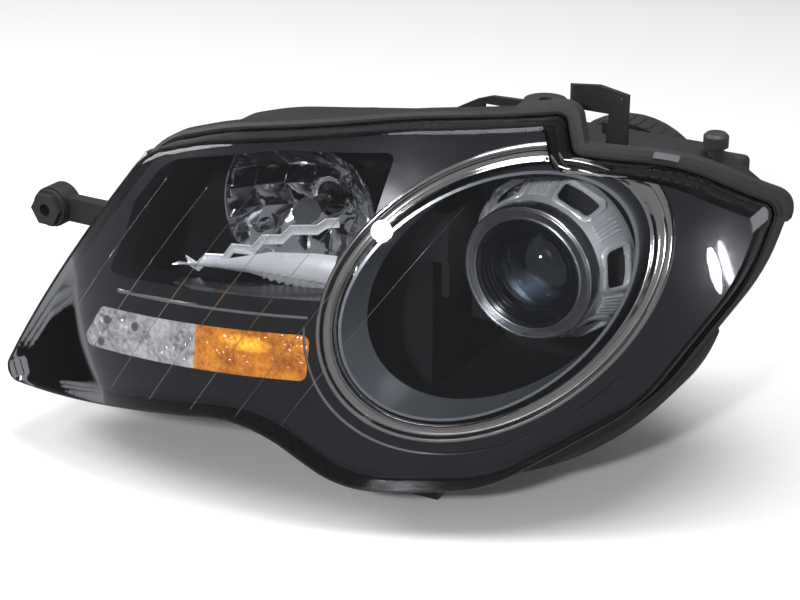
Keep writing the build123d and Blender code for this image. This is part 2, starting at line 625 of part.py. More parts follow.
with BuildPart() as glare_shield:
    add(disc(HIGH_AT, 9, HIGH_VERTEX - 44, 1.5))
    add(pipe(HIGH_AT, 9, 8, HIGH_VERTEX - 44, HIGH_VERTEX - 34))
    left, right, low, front_end = HIGH_AT[0] - 2, HIGH_AT[0] + 2, HIGH_AT[1] - 15.5, HIGH_VERTEX - 40
    add(block(left, low, right, low + 1, front_end, HIGH_VERTEX - 3))
    add(block(left, low, right, low + 7.5, front_end, front_end + 1))
    add(high_beam_reflector.part, mode=Mode.SUBTRACT)
keep(glare_shield.part, "glare_shield")

with BuildPart() as position_bulb:
    add(disc(POSITION_AT, 4, 118, 16))
    add(ball(POSITION_AT, 4, 118))
keep(position_bulb.part, "position_bulb")

with BuildPart() as position_socket:
    add(pipe(POSITION_AT, 7, 4, 128, 142))
    add(disc(POSITION_AT, 7, 134, 8))
    add(position_bulb.part, mode=Mode.SUBTRACT)
keep(position_socket.part, "position_socket")

# ---------------------------------------------------------------- aiming frame and its suspension
with BuildPart() as pivot_stud:
    add(ball(PIVOT_AT, BALL, AIM_DEPTH))
    add(disc(PIVOT_AT, STUD, AIM_DEPTH, LOW_BACK - HOUSING_WALL - AIM_DEPTH))
    add(disc(PIVOT_AT, 8, LOW_BACK - HOUSING_WALL - 12, 12))
keep(pivot_stud.part, "pivot_stud")

with BuildPart() as pivot_socket:
    add(disc(PIVOT_AT, SOCKET_RADIUS, AIM_DEPTH - 8, 13))
    add(ball(PIVOT_AT, BALL + BALL_CLEARANCE, AIM_DEPTH), mode=Mode.SUBTRACT)
    neck = BALL - CUP_LIP
    mouth = axial(PIVOT_AT, (0, AIM_DEPTH), (neck, AIM_DEPTH), (neck + 2, AIM_DEPTH + 6), (0, AIM_DEPTH + 6))
    revolve(mouth, axis=fore_aft(PIVOT_AT), mode=Mode.SUBTRACT)
    for side in (-1, 1):
        centre = front(AIM_DEPTH).from_local_coords((PIVOT_AT[0] + side * (BALL + 2), PIVOT_AT[1], 0))
        with BuildSketch(Plane(origin=centre, z_dir=(side, 0, 0))):
            Circle(PIN_RADIUS)
        extrude(amount=PIN_LENGTH - BALL - 2)
keep(pivot_socket.part, "pivot_socket")

with BuildPart() as aim_frame:
    # ring round the projector, between the carrier's flange and the reflector's
    add(pipe(LOW_AT, FRAME_BORE + 11.5, FRAME_BORE, FRAME_FORE, FRAME_FORE + FRAME_WALL))
    # upright on the yaw axis with cheeks for the pivot socket and a cup for the levelling ball
    upright_right = PIVOT_AT[0] + PIN_LENGTH
    add(block(PIVOT_AT[0] - 5, -60, upright_right, -2, FRAME_FORE, FRAME_FORE + FRAME_WALL))
    add(block(PIVOT_AT[0] - PIN_LENGTH, -20, upright_right, 58, FRAME_FORE, FRAME_FORE + FRAME_WALL))
    for side in (-1, 1):
        inner = PIVOT_AT[0] + side * (SOCKET_RADIUS + CHEEK_GAP)
        outer = PIVOT_AT[0] + side * PIN_LENGTH
        left, right = sorted((inner, outer))
        add(block(left, PIVOT_AT[1] - 6, right, PIVOT_AT[1] + 6, FRAME_DEPTH, AIM_DEPTH + 6))
        centre = front(AIM_DEPTH).from_local_coords((left - 1, PIVOT_AT[1], 0))
        with BuildSketch(Plane(origin=centre, z_dir=(1, 0, 0))):
            Circle(PIN_RADIUS + RUNNING)
        extrude(amount=CHEEK + 2, mode=Mode.SUBTRACT)
    # arm to the lateral screw's cup
    add(block(LOW_AT[0] + 30, 44, LATERAL_AT[0] + 8, 60, FRAME_FORE, FRAME_FORE + FRAME_WALL))
    add(disc(LOW_AT, FRAME_BORE, CARRIER_BACK, 20), mode=Mode.SUBTRACT)
    for at in (LEVEL_AT, LATERAL_AT):
        cup = BALL + CUP_WALL
        add(block(at[0] - cup, at[1] - cup, at[0] + cup, at[1] + cup, FRAME_DEPTH, AIM_DEPTH + 3))
        add(ball(at, BALL + BALL_CLEARANCE, AIM_DEPTH), mode=Mode.SUBTRACT)
        neck = BALL - CUP_LIP
        throat = axial(at, (0, AIM_DEPTH), (neck, AIM_DEPTH), (neck + 2, AIM_DEPTH + 4), (0, AIM_DEPTH + 4))
        revolve(throat, axis=fore_aft(at), mode=Mode.SUBTRACT)
    # arm forward and inboard to the plate behind the high beam reflector
    add(block(PIVOT_AT[0] - 5, -24, PIVOT_AT[0] + 1, 40, HIGH_VERTEX + 8, FRAME_DEPTH))
    add(block(-140, 2, PIVOT_AT[0] + 1, 40, HIGH_VERTEX + 6, HIGH_VERTEX + 10))
    add(block(-140, 2, -16, 80, HIGH_VERTEX + 6, HIGH_VERTEX + 9))
    add(disc(HIGH_AT, HIGH_BULB_BASE + 11, HIGH_VERTEX, 20), mode=Mode.SUBTRACT)
    for at in POSTS_AT:
        add(disc(at, POST_RADIUS, HIGH_FRONT + 6, HIGH_VERTEX + 1 - HIGH_FRONT))
    inside = [(0, HIGH_FRONT - 20), *reversed(bowl(SHELL / 2)), (0, HIGH_VERTEX)]
    revolve(axial(HIGH_AT, *inside), axis=fore_aft(HIGH_AT), mode=Mode.SUBTRACT)
    add(high_beam_reflector.part, mode=Mode.SUBTRACT)
    add(position_socket.part, mode=Mode.SUBTRACT)
keep(aim_frame.part, "aim_frame")

with BuildPart() as projector_screws:
    for angle in (45, 135, 225, 315):
        turn = radians(angle)
        at = (LOW_AT[0] + 51 * cos(turn), LOW_AT[1] + 51 * sin(turn))
        add(disc(at, 3.2, SHROUD_BACK - 2, 2))
keep(projector_screws.part, "projector_screws")

with BuildPart() as level_rod:
    add(ball(LEVEL_AT, BALL, AIM_DEPTH))
    add(disc(LEVEL_AT, STUD, AIM_DEPTH, LOW_BACK + 20 - AIM_DEPTH))
keep(level_rod.part, "level_rod")

with BuildPart() as level_motor:
    add(disc(LEVEL_AT, MOTOR_NECK, LOW_BACK - 6, 8))
    left, bottom, right, top = LEVEL_AT[0] - 12, LEVEL_AT[1] - 34, LEVEL_AT[0] + 17, LEVEL_AT[1] + 17
    add(block(left, bottom, right, top, LOW_BACK, LOW_BACK + 34))
    fillet(level_motor.edges().filter_by(Axis.Y).group_by(SortBy.LENGTH)[-1], 5)
    add(disc(LEVEL_AT, STUD + RUNNING, LOW_BACK - 10, 38), mode=Mode.SUBTRACT)
keep(level_motor.part, "level_motor")

with BuildPart() as lateral_aim_screw:
    add(ball(LATERAL_AT, BALL, AIM_DEPTH))
    add(disc(LATERAL_AT, SCREW_RADIUS, AIM_DEPTH, LOW_BACK + 16 - AIM_DEPTH))
keep(lateral_aim_screw.part, "lateral_aim_screw")

# ---------------------------------------------------------------- adjuster heads, covers, connector
with BuildPart() as lateral_drive:
    left, bottom, right, top = LATERAL_AT[0] - 12, LATERAL_AT[1] - 12, LATERAL_AT[0] + 12, LATERAL_AT[1] + 14
    add(block(left, bottom, right, top, LOW_BACK, LOW_BACK + 22))
    fillet(lateral_drive.edges().filter_by(Axis.Y), 4)
    add(disc(LATERAL_AT, SCREW_RADIUS + RUNNING, LOW_BACK - 2, 30), mode=Mode.SUBTRACT)
keep(lateral_drive.part, "lateral_drive")


def adjuster_head(at, foot, top, radius):
    """Upright turning head on a stem that runs in a boss: radius, then heights in the front view."""
    stem = [(0, foot), (radius - STEM_STEP, foot), (radius - STEM_STEP, top - 10)]
    head = [(radius, top - 10), (radius, top - 2), (radius - 2, top), (0, top)]
    return revolve(upright(at, *stem, *head), axis=vertical(at), mode=Mode.PRIVATE)


with BuildPart() as lateral_aim_knob:
    add(adjuster_head(LATERAL_KNOB_AT, LOW_ROOF - 16, LOW_ROOF + 14, LATERAL_KNOB_RADIUS))
keep(lateral_aim_knob.part, "lateral_aim_knob")

with BuildPart() as vertical_aim_knob:
    add(adjuster_head(VERTICAL_KNOB_AT, LOW_ROOF - 8, LOW_ROOF + 26, VERTICAL_KNOB_RADIUS))
keep(vertical_aim_knob.part, "vertical_aim_knob")


def access_cover(at, tube, mouth):
    """Cap over an access tube whose end is at depth mouth: plate, skirt and a finger grip."""
    skirt = tube + COVER_GAP
    grip_fore = mouth + SEAL_DEPTH + COVER_WALL
    with BuildPart() as cap:
        add(pipe(at, skirt + COVER_WALL, skirt, mouth - 20, mouth + SEAL_DEPTH))
        add(disc(at, skirt + COVER_WALL, mouth + SEAL_DEPTH, COVER_WALL))
        add(block(at[0] - tube + 8, at[1] - 4, at[0] + tube - 8, at[1] + 4, grip_fore, grip_fore + 9))
    return cap.part


def cover_seal(at, tube, mouth):
    """Soft ring in the cap, just off the tube's end."""
    return pipe(at, tube + COVER_GAP, tube - 6, mouth + BALL_CLEARANCE, mouth + SEAL_DEPTH)


for name, at, tube, mouth in [
    ("low", LOW_AT, LOW_TUBE, LOW_BACK + TUBE_LENGTH),
    ("high", HIGH_AT, HIGH_TUBE, HIGH_BACK + TUBE_LENGTH),
]:
    keep(access_cover(at, tube, mouth), f"{name}_beam_cover")
    keep(cover_seal(at, tube, mouth), f"{name}_beam_cover_seal")

keep(wire_clip(LOW_AT, LOW_CLIP_DROP, 23, 14, REFLECTOR_BACK + 2.3), "low_beam_clip")
keep(wire_clip(HIGH_AT, HIGH_CLIP_DROP, 19, 12.5, HIGH_VERTEX + 7.3), "high_beam_clip")

with BuildPart() as connector:
    left, bottom = CONNECTOR_AT[0] - 15, CONNECTOR_AT[1] - 12
    right, top = CONNECTOR_AT[0] + 15, CONNECTOR_AT[1] + 12
    add(block(left, bottom, right, top, LOW_BACK, LOW_BACK + 20))
    fillet(connector.edges().filter_by(Axis.Y), 3)
    add(block(left + 2, bottom + 2, right - 2, top - 2, LOW_BACK + 4, LOW_BACK + 21), mode=Mode.SUBTRACT)
keep(connector.part, "connector")

with BuildPart() as connector_pins:
    for column in range(5):
        for row in (-1, 1):
            across, up = CONNECTOR_AT[0] + (column - 2) * 5, CONNECTOR_AT[1] + row * 4.5
            add(block(across - 0.8, up - 0.4, across + 0.8, up + 0.4, LOW_BACK + 4, LOW_BACK + 14))
keep(connector_pins.part, "connector_pins")

with BuildPart() as breather:
    add(disc(BREATHER_AT, 7, LOW_BACK, 10))
    fillet(breather.edges().sort_by(Axis.Y)[-1], 3)
keep(breather.part, "breather")

with BuildPart() as ear_bush:
    turns = [radians(angle) for angle in range(0, 360, 60)]
    hexagon = [(EAR_AT[0] + HEX_REACH * cos(turn), EAR_AT[1] + HEX_REACH * sin(turn)) for turn in turns]
    add(prism(corners_at(hexagon), EAR_FACE - 8, EAR_FACE - 2))
    add(disc(EAR_AT, EAR_BARREL + 3, EAR_FACE - 3, 3 - BALL_CLEARANCE))
    add(disc(EAR_AT, EAR_BARREL - RUNNING, EAR_FACE - 3, 20))
    add(disc(EAR_AT, EAR_HOLE, EAR_FACE - 10, 40), mode=Mode.SUBTRACT)
keep(ear_bush.part, "ear_bush")

with BuildPart() as top_bush:
    flange = [(TOP_HOLE, TOP_FACE), (TOP_BUSH_RADIUS, TOP_FACE), (TOP_BUSH_RADIUS, BRACKET_TOP)]
    barrel = [(TOP_BARREL, BRACKET_TOP), (TOP_BARREL, BUSH_FOOT), (0, BUSH_FOOT)]
    bore = [(0, TOP_FACE - TOP_BORE), (TOP_HOLE, TOP_FACE - TOP_BORE)]
    revolve(upright(TOP_BOLT_AT, *flange, *barrel, *bore), axis=vertical(TOP_BOLT_AT))
keep(top_bush.part, "top_bush")
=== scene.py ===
"""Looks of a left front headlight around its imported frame: a finish for every piece, and detailed meshes for
the rolled chrome ring, the facetted reflector, the blade, the shroud, the indicator's optics and the lens."""

import json
from math import atan2, cos, hypot, pi, radians, sin, sqrt

import bmesh
import bpy
from bpy.props import FloatProperty, FloatVectorProperty, IntProperty, PointerProperty
from bpy.types import Operator, Panel, PropertyGroup
from mathutils import Matrix, Vector


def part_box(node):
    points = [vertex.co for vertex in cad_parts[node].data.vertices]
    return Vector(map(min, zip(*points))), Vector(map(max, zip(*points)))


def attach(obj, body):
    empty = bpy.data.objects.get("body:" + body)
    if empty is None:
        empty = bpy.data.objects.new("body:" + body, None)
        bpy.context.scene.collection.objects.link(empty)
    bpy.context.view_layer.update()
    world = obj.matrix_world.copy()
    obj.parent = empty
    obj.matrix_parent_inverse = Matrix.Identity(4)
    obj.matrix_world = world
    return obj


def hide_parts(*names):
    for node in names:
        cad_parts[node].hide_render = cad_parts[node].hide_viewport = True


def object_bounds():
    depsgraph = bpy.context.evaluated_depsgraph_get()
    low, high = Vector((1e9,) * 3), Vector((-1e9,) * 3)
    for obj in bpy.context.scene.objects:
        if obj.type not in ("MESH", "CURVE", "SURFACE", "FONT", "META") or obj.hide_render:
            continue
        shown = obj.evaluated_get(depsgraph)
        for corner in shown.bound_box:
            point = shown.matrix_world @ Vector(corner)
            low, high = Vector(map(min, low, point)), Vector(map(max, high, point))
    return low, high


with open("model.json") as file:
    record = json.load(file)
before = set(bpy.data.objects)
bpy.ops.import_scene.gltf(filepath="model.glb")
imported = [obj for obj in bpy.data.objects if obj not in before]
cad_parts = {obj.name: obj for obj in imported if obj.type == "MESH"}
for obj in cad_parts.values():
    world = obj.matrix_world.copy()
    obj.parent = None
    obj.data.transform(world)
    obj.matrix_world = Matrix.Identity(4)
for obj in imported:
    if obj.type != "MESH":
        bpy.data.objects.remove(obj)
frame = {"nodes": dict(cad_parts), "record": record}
CAD_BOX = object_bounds()

bl_info = {
    "name": "Car headlight looks",
    "version": (1, 0, 0),
    "blender": (4, 5, 0),
    "location": "3D View > Sidebar > Headlight",
    "description": "Finishes and detailed meshes of a car headlight around its packed frame",
    "category": "Object",
}

MM = 0.001
SLOTS = {entry["node"]: entry["material_slot"] for entry in frame["record"]["subparts"]}
BODY_OF = {node: body for body, nodes in frame["record"]["behaviour"]["bodies"].items() for node in nodes}


def middle(node):
    """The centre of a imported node's box."""
    low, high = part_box(node)
    return (Vector(low) + Vector(high)) / 2


# the lens's front is a ball; its centre is given from the top bolt, the frame's origin
CROWN_RADIUS = 450 * MM
CROWN_CENTRE = Vector((-201, 245, -239)) * MM
BEZEL_FACE = 22 * MM
RING_BAND = 12 * MM
RING_CENTRE = Vector((9.3, 0, -109.5)) * MM
RING_SEMI = (107.3 * MM, 89.4 * MM)
RING_TURN = radians(39.4)
LOW_CENTRE = Vector((middle("projector_lens").x, 0, middle("projector_lens").z))
HIGH_CENTRE = Vector((-139, 0, -79)) * MM
HIGH_VERTEX = -53 * MM
HIGH_FOCUS = 20 * MM


# ---------------------------------------------------------------- what a user may change
class HeadlightColours(PropertyGroup):
    """Base colours of the finishes that show most."""

    housing_plastic: FloatVectorProperty(
        name="Housing", description="Black of the moulded housing",
        subtype="COLOR", size=3, min=0, max=1, default=(0.015, 0.015, 0.017),
    )
    bezel_black: FloatVectorProperty(
        name="Bezel", description="Gloss black of the bezel behind the lens",
        subtype="COLOR", size=3, min=0, max=1, default=(0.006, 0.006, 0.008),
    )
    chrome_trim: FloatVectorProperty(
        name="Chrome ring", description="Slightly warm chrome of the ring and the trim line",
        subtype="COLOR", size=3, min=0, max=1, default=(0.80, 0.76, 0.72),
    )
    silver_trim: FloatVectorProperty(
        name="Silver", description="Metallised silver of the blade and the projector's shroud",
        subtype="COLOR", size=3, min=0, max=1, default=(0.90, 0.91, 0.93),
    )
    dark_reflective: FloatVectorProperty(
        name="Surround", description="Smoked metallic of the tapered surround inside the ring",
        subtype="COLOR", size=3, min=0, max=1, default=(0.30, 0.32, 0.34),
    )
    reflector: FloatVectorProperty(
        name="Reflector", description="Aluminised reflector",
        subtype="COLOR", size=3, min=0, max=1, default=(0.86, 0.86, 0.88),
    )
    amber: FloatVectorProperty(
        name="Amber", description="Brightest orange of the indicator's amber part",
        subtype="COLOR", size=3, min=0, max=1, default=(0.95, 0.36, 0.03),
    )


class HeadlightSizes(PropertyGroup):
    """Counts and sizes of the detailed pieces."""

    facet_columns: IntProperty(
        name="Facet columns", description="Facets across the reflector", default=7, min=2,
    )
    facet_rows: IntProperty(name="Facet rows", description="Facets up the reflector", default=5, min=2)
    facet_rise: FloatProperty(
        name="Facet rise", description="How far the middle of a facet stands out",
        default=1.8 * MM, unit="LENGTH",
    )
    ridge_count: IntProperty(name="Ridges", description="Slanting ridges inside the lens", default=7, min=1)
    ridge_width: FloatProperty(
        name="Ridge width", description="Width of one ridge", default=0.5 * MM, unit="LENGTH",
    )
    ridge_spacing: FloatProperty(
        name="Ridge spacing", description="Distance between ridges", default=34 * MM, unit="LENGTH",
    )
    optic_pitch: FloatProperty(
        name="Optic pitch", description="Distance between the indicator's prisms",
        default=4.4 * MM, unit="LENGTH",
    )
    grip_count: IntProperty(
        name="Cover grips", description="Grip ribs round each rear cover", default=48, min=6,
    )


class HeadlightStage(PropertyGroup):
    """Camera and studio."""

    camera_turn: FloatProperty(
        name="Camera turn", description="How far outboard of straight ahead",
        default=radians(30), subtype="ANGLE",
    )
    camera_rise: FloatProperty(
        name="Camera rise", description="How far above level", default=radians(23), subtype="ANGLE",
    )
    camera_away: FloatProperty(
        name="Camera distance", description="From the lamp's middle", default=1.42, unit="LENGTH",
    )
    view_width: FloatProperty(
        name="View width", description="Width seen at the lamp's middle", default=0.5445, unit="LENGTH",
    )
    floor_colour: FloatVectorProperty(
        name="Floor", description="Pale floor",
        subtype="COLOR", size=3, min=0, max=1, default=(0.86, 0.86, 0.86),
    )
    ambient: FloatProperty(
        name="Ambient", description="Strength of the surrounding light", default=0.24, min=0,
    )


# ---------------------------------------------------------------- shader maths and finishes
class Value:
    """A node socket that arithmetic can be written on."""

    def __init__(self, tree, socket):
        self.tree = tree
        self.socket = socket

    def maths(self, operation, first, second):
        node = self.tree.nodes.new("ShaderNodeMath")
        node.operation = operation
        for socket, item in zip(node.inputs, (first, second)):
            if isinstance(item, Value):
                self.tree.links.new(item.socket, socket)
            else:
                socket.default_value = item
        return Value(self.tree, node.outputs[0])

    def __add__(self, other):
        return self.maths("ADD", self, other)

    def __sub__(self, other):
        return self.maths("SUBTRACT", self, other)

    def __rsub__(self, other):
        return self.maths("SUBTRACT", other, self)

    def __mul__(self, other):
        return self.maths("MULTIPLY", self, other)

    def __pow__(self, other):
        return self.maths("POWER", self, other)

    def clamped(self):
        return self.maths("MINIMUM", self.maths("MAXIMUM", self, 0.0), 1.0)


class Finish:
    """A node material under construction."""

    def __init__(self, name):
        self.material = bpy.data.materials.new(name)
        self.material.use_nodes = True
        self.tree = self.material.node_tree
        self.tree.nodes.clear()
        self.output = self.tree.nodes.new("ShaderNodeOutputMaterial")
        self.position = self.node("ShaderNodeTexCoord").outputs["Object"]

    def node(self, kind, settings=None, **inputs):
        """A node of a type, with its settings set before its sockets' values or links."""
        node = self.tree.nodes.new(kind)
        for key, value in (settings or {}).items():
            setattr(node, key, value)
        for key, item in inputs.items():
            socket = node.inputs[key.replace("_", " ")]
            if isinstance(item, Value):
                self.tree.links.new(item.socket, socket)
            elif isinstance(item, bpy.types.NodeSocket):
                self.tree.links.new(item, socket)
            else:
                socket.default_value = item
        return node

    def noise(self, scale, detail=4.0, roughness=0.55):
        node = self.node(
            "ShaderNodeTexNoise", Vector=self.position, Scale=scale, Detail=detail, Roughness=roughness,
        )
        return Value(self.tree, node.outputs[0])

    def cells(self, scale):
        """Distance to the nearest of scattered points, for pressed optics and pebbles."""
        node = self.node("ShaderNodeTexVoronoi", {"feature": "F1"}, Vector=self.position, Scale=scale)
        return Value(self.tree, node.outputs["Distance"])

    def axis(self, index):
        split = self.node("ShaderNodeSeparateXYZ", Vector=self.position)
        return Value(self.tree, split.outputs[index])

    def blend(self, mask, first, second):
        """Colour that goes from first to second as mask goes from 0 to 1."""
        mix = self.tree.nodes.new("ShaderNodeMix")
        mix.data_type = "RGBA"
        self.tree.links.new(mask.socket, mix.inputs[0])
        for socket, colour in ((mix.inputs[6], first), (mix.inputs[7], second)):
            if isinstance(colour, bpy.types.NodeSocket):
                self.tree.links.new(colour, socket)
            else:
                socket.default_value = (*colour, 1)
        return mix.outputs[2]

    def bump(self, height, distance, strength=1.0):
        node = self.node("ShaderNodeBump", Height=height, Distance=distance, Strength=strength)
        return node.outputs[0]

    def surface(self, **inputs):
        """The principled surface, joined to the output."""
        shader = self.node("ShaderNodeBsdfPrincipled", **inputs)
        self.tree.links.new(shader.outputs[0], self.output.inputs[0])
        return self.material

    def clear(self, tint, roughness, index, haze, normal=None):
        """A thin clear wall: see-through straight on, mirror-like at a glance, haze a part of it always."""
        through = self.node("ShaderNodeBsdfTransparent", Color=(*tint, 1))
        gloss = self.node("ShaderNodeBsdfGlossy", Color=(1, 1, 1, 1), Roughness=roughness)
        rim = self.node("ShaderNodeFresnel", IOR=index)
        if normal:
            self.tree.links.new(normal, gloss.inputs["Normal"])
            self.tree.links.new(normal, rim.inputs["Normal"])
        mix = self.tree.nodes.new("ShaderNodeMixShader")
        factor = Value(self.tree, rim.outputs[0]) + haze
        self.tree.links.new(factor.socket, mix.inputs[0])
        self.tree.links.new(through.outputs[0], mix.inputs[1])
        self.tree.links.new(gloss.outputs[0], mix.inputs[2])
        self.tree.links.new(mix.outputs[0], self.output.inputs[0])
        return self.material


def around(colour, spread):
    """A darker and a lighter shade of a colour."""
    darker = tuple(part * (1 - spread) for part in colour)
    return darker, tuple(min(1.0, part * (1 + spread)) for part in colour)


def moulded(name, colour, roughness, grain_scale, grain_depth):
    """Moulded plastic or rubber: fine grain, patchy colour and sheen."""
    finish = Finish(name)
    patches = finish.noise(18.0, 3.0)
    grain = finish.noise(grain_scale, 2.0)
    return finish.surface(
        Base_Color=finish.blend(patches, *around(colour, 0.35)),
        Roughness=patches * 0.18 + (roughness - 0.09),
        Normal=finish.bump(grain, grain_depth),
    )


def metal(name, colour, roughness, ripple_scale, ripple_depth, metallic=1.0):
    """Metal or metallised plastic: slight ripple, smudges that change the sheen."""
    finish = Finish(name)
    smudge = finish.noise(25.0, 5.0)
    ripple = finish.noise(ripple_scale, 2.0)
    return finish.surface(
        Base_Color=finish.blend(smudge, *around(colour, 0.1)),
        Metallic=metallic,
        Roughness=smudge * 0.12 + (roughness - 0.05),
        Normal=finish.bump(ripple, ripple_depth),
    )


DUST_GREY = (0.05, 0.05, 0.055)


def gloss_black(name, colour):
    """Black bezel as polished in its mould: a clear coat with faint flow ripple and fine dust."""
    finish = Finish(name)
    flow = finish.noise(22.0, 2.0)
    dust = finish.noise(420.0, 1.0) ** 8.0
    return finish.surface(
        Base_Color=finish.blend((dust * 2.0).clamped(), colour, DUST_GREY),
        Roughness=flow * 0.12 + 0.14,
        Coat_Weight=0.6,
        Coat_Roughness=0.04,
        Normal=finish.bump(flow, 0.0004),
    )


def outer_lens(name):
    """Clear hard-coated cover lens, with the slight waviness of a large moulding."""
    finish = Finish(name)
    return finish.clear((0.955, 0.96, 0.975), 0.02, 1.36, 0.0, finish.bump(finish.noise(9.0, 1.0), 0.0005))


# a painted glow over the indicator bulb, standing in for light from its reflector: half its width and height,
# and how far its middle is above the bulb's
PAINTED_GLOW_HALF_WIDTH, PAINTED_GLOW_HALF_HEIGHT, PAINTED_GLOW_LIFT = 21 * MM, 6.5 * MM, 5 * MM


def optic(name, deep, bright, painted_glow, painted_glow_strength):
    """Pressed indicator lens over its reflector: cells that go from deep to bright, partly its pressed pattern
    and partly painted reflection of the reflector, and a painted glow that is brightest at the bulb.
    """
    finish = Finish(name)
    cells = finish.cells(230.0)
    cloud = finish.noise(70.0, 4.0, 0.7)
    bulb = middle("indicator_bulb")
    across = (finish.axis(0) - bulb.x) * (1 / PAINTED_GLOW_HALF_WIDTH)
    up = (finish.axis(2) - (bulb.z + PAINTED_GLOW_LIFT)) * (1 / PAINTED_GLOW_HALF_HEIGHT)
    # painted glow mask: one at the glow's middle, none outside its oval
    painted_glow_mask = (1.0 - across * across - up * up).clamped()
    # the mottle is partly the pressed optic's pattern, partly painted reflection of the reflector behind
    mottle = ((cloud - 0.32) * 2.2 + cells * 0.5).clamped()
    return finish.surface(
        Base_Color=finish.blend(mottle, deep, bright),
        Roughness=cloud * 0.25 + 0.05,
        Coat_Weight=1.0,
        Coat_Roughness=0.03,
        # painted glow: emission standing in for light from the reflector, brightest at the bulb
        Emission_Color=finish.blend(painted_glow_mask * mottle, tuple(0.12 * part for part in deep), painted_glow),
        Emission_Strength=painted_glow_strength,
        Normal=finish.bump(cells + cloud * 0.4, 0.0014),
    )


# colour, roughness, grain scale and grain depth
MOULDED = {
    "sealant": ((0.02, 0.02, 0.02), 0.7, 300.0, 0.0005),
    "seal_rubber": ((0.02, 0.02, 0.02), 0.62, 700.0, 0.0003),
    "socket_plastic": ((0.018, 0.018, 0.02), 0.5, 800.0, 0.0002),
    "white_plastic": ((0.76, 0.75, 0.7), 0.36, 400.0, 0.0001),
    "frame_plastic": ((0.018, 0.018, 0.02), 0.55, 700.0, 0.0002),
    "knob_plastic": ((0.03, 0.03, 0.03), 0.42, 600.0, 0.0002),
    "cover_plastic": ((0.02, 0.02, 0.022), 0.48, 850.0, 0.0002),
    "bush_plastic": ((0.024, 0.024, 0.024), 0.4, 800.0, 0.0002),
}
# colour, roughness, ripple scale and ripple depth
METALS = {
    "clip_steel": ((0.52, 0.52, 0.54), 0.32, 300.0, 0.0001),
    "cast_carrier": ((0.30, 0.31, 0.33), 0.34, 500.0, 0.0002),
    "steel_sheet": ((0.38, 0.38, 0.39), 0.34, 200.0, 0.0001),
    "satin_ring": ((0.78, 0.79, 0.80), 0.24, 160.0, 0.0001),
    "brass_pins": ((0.68, 0.57, 0.34), 0.25, 200.0, 0.0001),
}
FINISHES = {}


def make_finish(slot):
    """The finish of one material slot of the record, or of a detail on it."""
    colours = bpy.context.scene.headlight_colours
    if slot in MOULDED:
        return moulded(slot, *MOULDED[slot])
    if slot in METALS:
        return metal(slot, *METALS[slot])
    makers = {
        "housing_plastic": lambda: moulded(slot, tuple(colours.housing_plastic), 0.46, 900.0, 0.00025),
        "bezel_black": lambda: gloss_black(slot, tuple(colours.bezel_black)),
        "silver_trim": lambda: metal(slot, tuple(colours.silver_trim), 0.27, 120.0, 0.0002, 0.45),
        "chrome_trim": lambda: metal(slot, tuple(colours.chrome_trim), 0.1, 40.0, 0.0001),
        "dark_reflective": lambda: metal(slot, tuple(colours.dark_reflective), 0.24, 40.0, 0.0003, 0.6),
        "reflector": lambda: metal(slot, tuple(colours.reflector), 0.09, 90.0, 0.0003),
        "clear_lens": lambda: outer_lens(slot),
        # the last colour and strength of each optic are its painted glow
        "clear_inner": lambda: optic(slot, (0.10, 0.09, 0.09), (0.72, 0.70, 0.70), (0.5, 0.48, 0.45), 0.25),
        "amber": lambda: optic(slot, (0.30, 0.05, 0.003), tuple(colours.amber), (1.0, 0.5, 0.03), 1.6),
        "bulb_amber": lambda: Finish(slot).clear((0.99, 0.72, 0.25), 0.05, 1.5, 0.1),
        "bulb_glass": lambda: Finish(slot).clear((0.95, 0.96, 0.97), 0.02, 1.5, 0.03),
        "projector_glass": lambda: Finish(slot).clear((0.72, 0.78, 0.82), 0.02, 1.62, 0.03),
        "ridge": lambda: Finish(slot).clear((0.97, 0.97, 0.98), 0.15, 1.5, 0.16),
    }
    return makers[slot]()


def finish_of(slot):
    """The finish of a slot, made the first time it is asked for."""
    if slot not in FINISHES:
        FINISHES[slot] = make_finish(slot)
    return FINISHES[slot]


# ---------------------------------------------------------------- mesh helpers
def crown_depth(x, z, set_back=0.0):
    """Depth of the lens's front surface at (x, z), moved back by set_back."""
    across, up = x - CROWN_CENTRE.x, z - CROWN_CENTRE.z
    return CROWN_CENTRE.y + set_back - sqrt(CROWN_RADIUS**2 - across**2 - up**2)


def settle(bm, name, node, sharp=35.0, stands_for=True, slot=None):
    """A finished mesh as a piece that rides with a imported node, and stands for it unless it is a detail."""
    for face in bm.faces:
        face.smooth = True
    for edge in bm.edges:
        if len(edge.link_faces) == 2 and edge.calc_face_angle(0.0) > radians(sharp):
            edge.smooth = False
    mesh = bpy.data.meshes.new(name)
    bm.to_mesh(mesh)
    bm.free()
    mesh.materials.append(finish_of(slot or SLOTS[node]))
    piece = bpy.data.objects.new(name, mesh)
    bpy.context.scene.collection.objects.link(piece)
    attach(piece, BODY_OF[node])
    if stands_for:
        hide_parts(node)
    return piece


def smooth_copy(node):
    """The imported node's own shape with its seams joined and its curved faces shaded smooth."""
    source = frame["nodes"][node].data
    bm = bmesh.new()
    corners = [bm.verts.new(vertex.co) for vertex in source.vertices]
    for polygon in source.polygons:
        bm.faces.new([corners[index] for index in polygon.vertices])
    bmesh.ops.remove_doubles(bm, verts=bm.verts, dist=0.002 * MM)
    return settle(bm, node + "_finished", node)


def loft(bm, rings, closed=True, capped=False):
    """Quads between rows of points, each row closed on itself; the rows close too, or are left or capped."""
    rows = [[bm.verts.new(point) for point in ring] for ring in rings]
    for index in range(len(rows) if closed else len(rows) - 1):
        here, there = rows[index], rows[(index + 1) % len(rows)]
        for step in range(len(here)):
            after = (step + 1) % len(here)
            bm.faces.new((here[step], here[after], there[after], there[step]))
    if capped:
        bm.faces.new(rows[0])
        bm.faces.new(rows[-1])
    bmesh.ops.recalc_face_normals(bm, faces=bm.faces)


